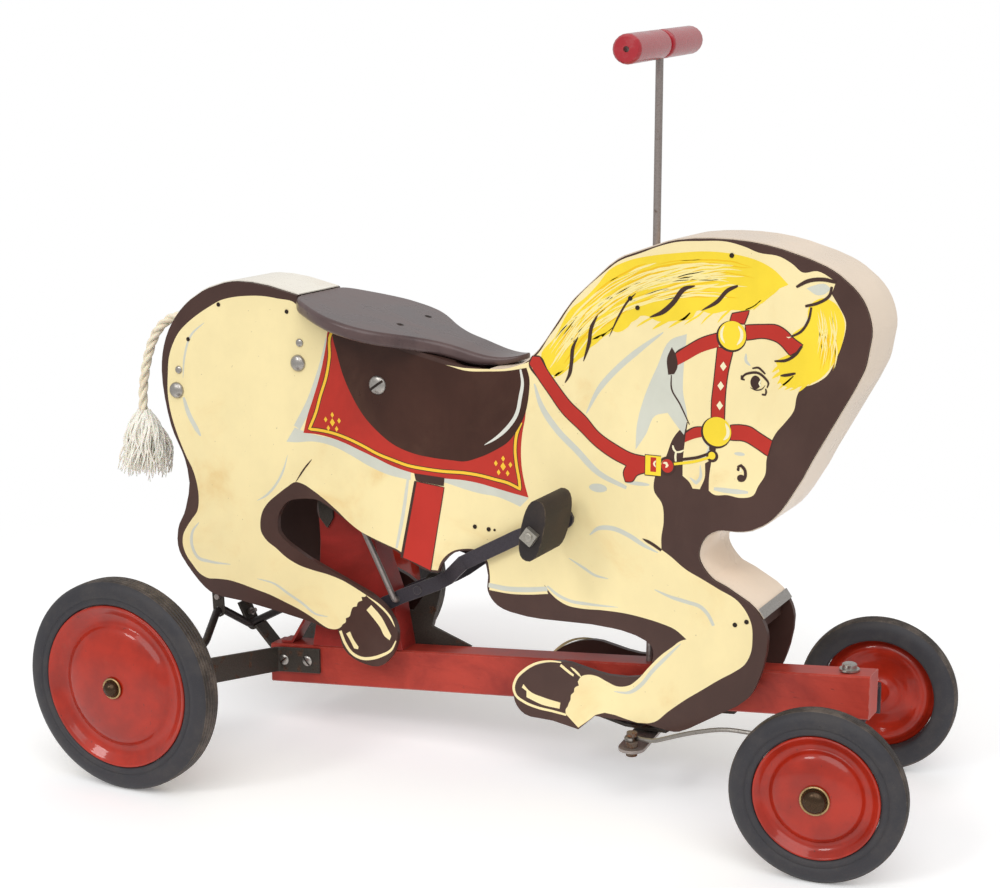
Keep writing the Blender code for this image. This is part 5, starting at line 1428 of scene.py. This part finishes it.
class Finishes:
    """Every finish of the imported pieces, by material slot or by node."""

    BY_SLOT = {
        "wood_cream": Paint("brown ground paint on the panels", "4d3731", stain="5d473d",
                            stain_share=0.4, mottle=0.14, roughness=0.36),
        "wood_brown": Paint("brown paint on the inner blocks", "4d3731", mottle=0.2,
                            roughness=0.5),
        "wood_red": PaintedWood("old red gloss on the beam", "b84032", "8f2c24", "c98d80",
                                "3c211c"),
        "wood_post": PaintedWood("darker red gloss on the post", "a8302a", "842822", "a8706a",
                                 "331c18", (5, 5, 80), 0.4),
        "seat_board": PaintedWood("dark seat paint worn smooth", "64504e", "4a3a3a", "b3a7a4",
                                  "2a1e1f", (110, 7, 7), 0.75, 0.22, 0.4),
        "pedal_wood": PaintedWood("worn dark pedal wood", "463c35", "2f2a2a", "7d6a55", "5f4a38",
                                  (5, 60, 4), 0.8, 0.6, 0.0),
        "sheet_tan": Paint("cream enamel on the bent sheets", "f3e0ca", stain="d3b08a",
                           stain_share=0.3, mottle=0.05, roughness=0.30, specks=0.35),
        "wheel_red": Enamel("red wheel enamel", "ae2811", "8f2010"),
        "tyre_rubber": Rubber("black rubber side wall", "343337", "524d4a", 0.35),
        "steel_bright": Metal("dull nickel plate", "b5b0aa", 0.9, 0.3, 0.25),
        "steel_plain": Metal("bare aged steel rod", "a49a95", 0.75, 0.36, 0.35, "6a4a38", 10),
        "steel_dark": Metal("dark painted steel", "3f3a40", 0.1, 0.42, 0.12, "4f3a30", 20, 0.5),
        "strap_steel": Metal("rusty dark strap steel", "423c36", 0.25, 0.5, 0.55, "5c4030", 16,
                             0.4),
        "grip_red": Plastic("red moulded grip plastic", "ad2530", "cf8e8f"),
        "rope_white": Cotton("undyed cotton cord", "f6ead0", "c0a483")}
    BY_NODE = {
        # The rump strip is a paler copy of the sheets' cream enamel. The paler base is painted
        # light on its upward top, and its stain is a little lighter too.
        "rear_strip": Paint("cleaner cream enamel over the rump", "fff8ea", stain="d8bb98",
                            stain_share=0.25, mottle=0.04, roughness=0.3, specks=0.35),
        "arm_bolt": Metal("heavily rusted bolt", "77695e", 0.5, 0.55, 0.95, "80512f", 6),
        "crank_axle": Metal("greasy dark axle steel", "3b3534", 0.6, 0.38, 0.35, "4a3427", 12),
        "drag_link": Metal("bare drag link wire", "8f8a84", 0.8, 0.33, 0.3, "6a4a38", 12),
        "pedal_bolt_right": PLATED_NUT, "pedal_bolt_left": PLATED_NUT}

    def __init__(self, slots: dict[str, str]) -> None:
        """Keeps the record's slots.

        Args:
            slots: CAD node name to its material slot.
        """
        self.slots = slots
        self.made: dict[str, Material] = {}

    def material(self, finish: object) -> Material:
        """Makes a finish once and keeps it.

        Args:
            finish: One of the finish classes above.

        Returns:
            Its material.
        """
        if finish.name not in self.made:
            self.made[finish.name] = finish.make()
        return self.made[finish.name]

    def of(self, slot: str) -> Material:
        """The material of a slot of the record."""
        return self.material(self.BY_SLOT[slot])

    def dress(self, nodes: dict[str, Piece]) -> None:
        """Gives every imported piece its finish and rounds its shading.

        Args:
            nodes: CAD node name to its object.
        """
        for name, node in nodes.items():
            finish = self.BY_NODE.get(name) or self.BY_SLOT[self.slots[name]]
            node.data.materials.clear()
            node.data.materials.append(self.material(finish))
            round_shading(node.data, 38.0)


def round_shading(mesh: bpy.types.Mesh, limit: float) -> None:
    """Shades a faceted mesh smoothly where its facets meet gently.

    The points stay where they are; only the shading normals change.

    Args:
        mesh: The mesh.
        limit: Angle in degrees above which an edge stays sharp.
    """
    near = math.cos(math.radians(limit))
    cells_per_metre = 2e5
    keys = [tuple(round(c * cells_per_metre) for c in v.co) for v in mesh.vertices]
    meeting: dict[tuple[int, ...], list[int]] = {}
    for face in mesh.polygons:
        for v in face.vertices:
            meeting.setdefault(keys[v], []).append(face.index)
    normals = [p.normal.copy() for p in mesh.polygons]
    areas = [p.area for p in mesh.polygons]
    split: list[Triple] = []
    for face in mesh.polygons:
        own = normals[face.index]
        for v in face.vertices:
            total = Vector((0, 0, 0))
            for other in meeting[keys[v]]:
                if own.dot(normals[other]) >= near:
                    total += normals[other] * areas[other]
            split.append(tuple(total.normalized() if total.length > 0 else own))
    mesh.polygons.foreach_set("use_smooth", [True] * len(mesh.polygons))
    mesh.normals_split_custom_set(split)


class Studio:
    """Camera, pale floor and soft light."""

    LENS = 69.45
    SENSOR = 36.0
    PLACE = (0.876355, -1.8222, 0.7767)
    AZIMUTH = 26.48
    ELEVATION = 11.67
    PICTURE = (1000, 888)
    FLOOR_HALF = 14.0
    FLOOR_Z = -0.0006
    FADE = (0.62, 1.35)  # metres from the middle where the floor starts and ends fading

    def camera(self) -> None:
        """Sets the camera that took the photograph, and the picture's size."""
        data = bpy.data.cameras.new("camera")
        data.lens, data.sensor_width = self.LENS, self.SENSOR
        data.clip_start, data.clip_end = 0.05, 60
        cam = bpy.data.objects.new("camera", data)
        scene = bpy.context.scene
        scene.collection.objects.link(cam)
        az, el = math.radians(self.AZIMUTH), math.radians(self.ELEVATION)
        look = Vector((-math.sin(az) * math.cos(el), math.cos(az) * math.cos(el), -math.sin(el)))
        cam.location = self.PLACE
        cam.rotation_euler = look.to_track_quat("-Z", "Y").to_euler()
        scene.camera = cam
        scene.render.engine = "CYCLES"
        scene.render.resolution_x, scene.render.resolution_y = self.PICTURE
        scene.view_settings.view_transform = "Standard"

    def world(self, ambient: float, shown: float) -> None:
        """Sets a white surround with a softer fill.

        Args:
            ambient: Strength of the fill that lights the horse.
            shown: Strength that the camera sees.
        """
        world = bpy.data.worlds.new("white surround")
        bpy.context.scene.world = world
        nodes = Nodes(world, "ShaderNodeOutputWorld")
        fill, seen = (nodes.add("ShaderNodeBackground", {0: (1, 1, 1, 1), 1: strength})
                      for strength in (ambient, shown))
        rays = nodes.add("ShaderNodeLightPath").outputs
        both = nodes.add("ShaderNodeMath", {0: rays["Is Camera Ray"],
                                            1: rays["Is Transmission Ray"]}, operation="MAXIMUM")
        mix = nodes.add("ShaderNodeMixShader", {0: both.outputs[0], 1: fill.outputs[0],
                                                2: seen.outputs[0]})
        nodes.plug(nodes.out, "Surface", mix.outputs[0])

    def sun(self, name: str, strength: float, spread: float, towards: Triple) -> None:
        """Adds one light.

        Args:
            name: Its name.
            strength: Its strength.
            spread: Angle it fills, in degrees.
            towards: Direction from the horse to the light.
        """
        data = bpy.data.lights.new(name, "SUN")
        data.energy = strength
        data.angle = math.radians(spread)
        lamp = bpy.data.objects.new(name, data)
        bpy.context.scene.collection.objects.link(lamp)
        lamp.rotation_euler = Vector(towards).to_track_quat("Z", "Y").to_euler()

    def floor(self, colour: str) -> None:
        """Lays a plain pale floor that fades out far from the horse.

        Args:
            colour: Its sRGB colour.
        """
        s = Shader("plain pale studio floor")
        faint = s.noise((900, 900, 900), 3)
        where = s.add("ShaderNodeNewGeometry").outputs["Position"]
        level = s.add("ShaderNodeVectorMath", {0: where, 1: (1, 1, 0)},
                      operation="MULTIPLY").outputs[0]
        far = s.add("ShaderNodeVectorMath", {0: level}, operation="LENGTH").outputs["Value"]
        s.set(Base_Color=s.mix(s.ramp(faint, 0.35, 0.7, 0, 0.03), colour, "ececee"),
              Roughness=0.9, Specular_IOR_Level=0.0, Emission_Color=(1, 1, 1, 1),
              Emission_Strength=0.16, Alpha=s.ramp(far, *self.FADE, 1, 0))
        corners = [Vector((x * self.FLOOR_HALF, y * self.FLOOR_HALF, self.FLOOR_Z))
                   for x, y in ((-1, -1), (1, -1), (1, 1), (-1, 1))]
        mesh_piece("floor", corners, [(0, 1, 2, 3)], s.material)


def main() -> None:
    """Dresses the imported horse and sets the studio."""
    finishes = Finishes({part["node"]: part["material_slot"]
                         for part in frame["record"]["subparts"]})
    finishes.dress(frame["nodes"])
    LOG.info("painted coats: %d", Artwork().paint())
    nail = Metal("near-black nail steel", "2e241f", 0.3, 0.5, 0.6, "4d3626", 4)
    hardware = Hardware(finishes.of("steel_bright"), finishes.material(nail))
    LOG.info("small fasteners: %d", hardware.fit())
    Tail().fit(finishes.of("rope_white"),
               finishes.material(Cotton("loose cotton strands", "fffaee", "d9bf99")))
    LOG.info("tail laid")
    tread, bronze, brass = (finishes.material(finish) for finish in (
        Rubber("dusty brown-black tread", "3b3532", "7d7066", 0.6),
        Metal("dark bronze cap", "4a3a2c", 0.85, 0.26, 0.2, "3a2a1e", 6),
        Metal("worn brass rim", "b99d70", 0.9, 0.3, 0.2, "6b4a2e", 5)))
    Seat().fit(finishes.of("seat_board"))
    LOG.info("seat fitted")
    for wheel in wheels():
        wheel.fit(finishes.of("wheel_red"), finishes.of("tyre_rubber"), tread, bronze, brass)
        LOG.info("wheel fitted: %s", wheel.name)
    studio = Studio()
    studio.camera()
    studio.world(0.62, 1.0)
    studio.sun("broad_light", 1.2, 50, (0.35, -0.62, 0.75))
    studio.sun("window_light", 0.5, 14, (-0.28, -0.77, 0.57))
    studio.floor("fdfdfd")


if __name__ == "__main__":
    main()
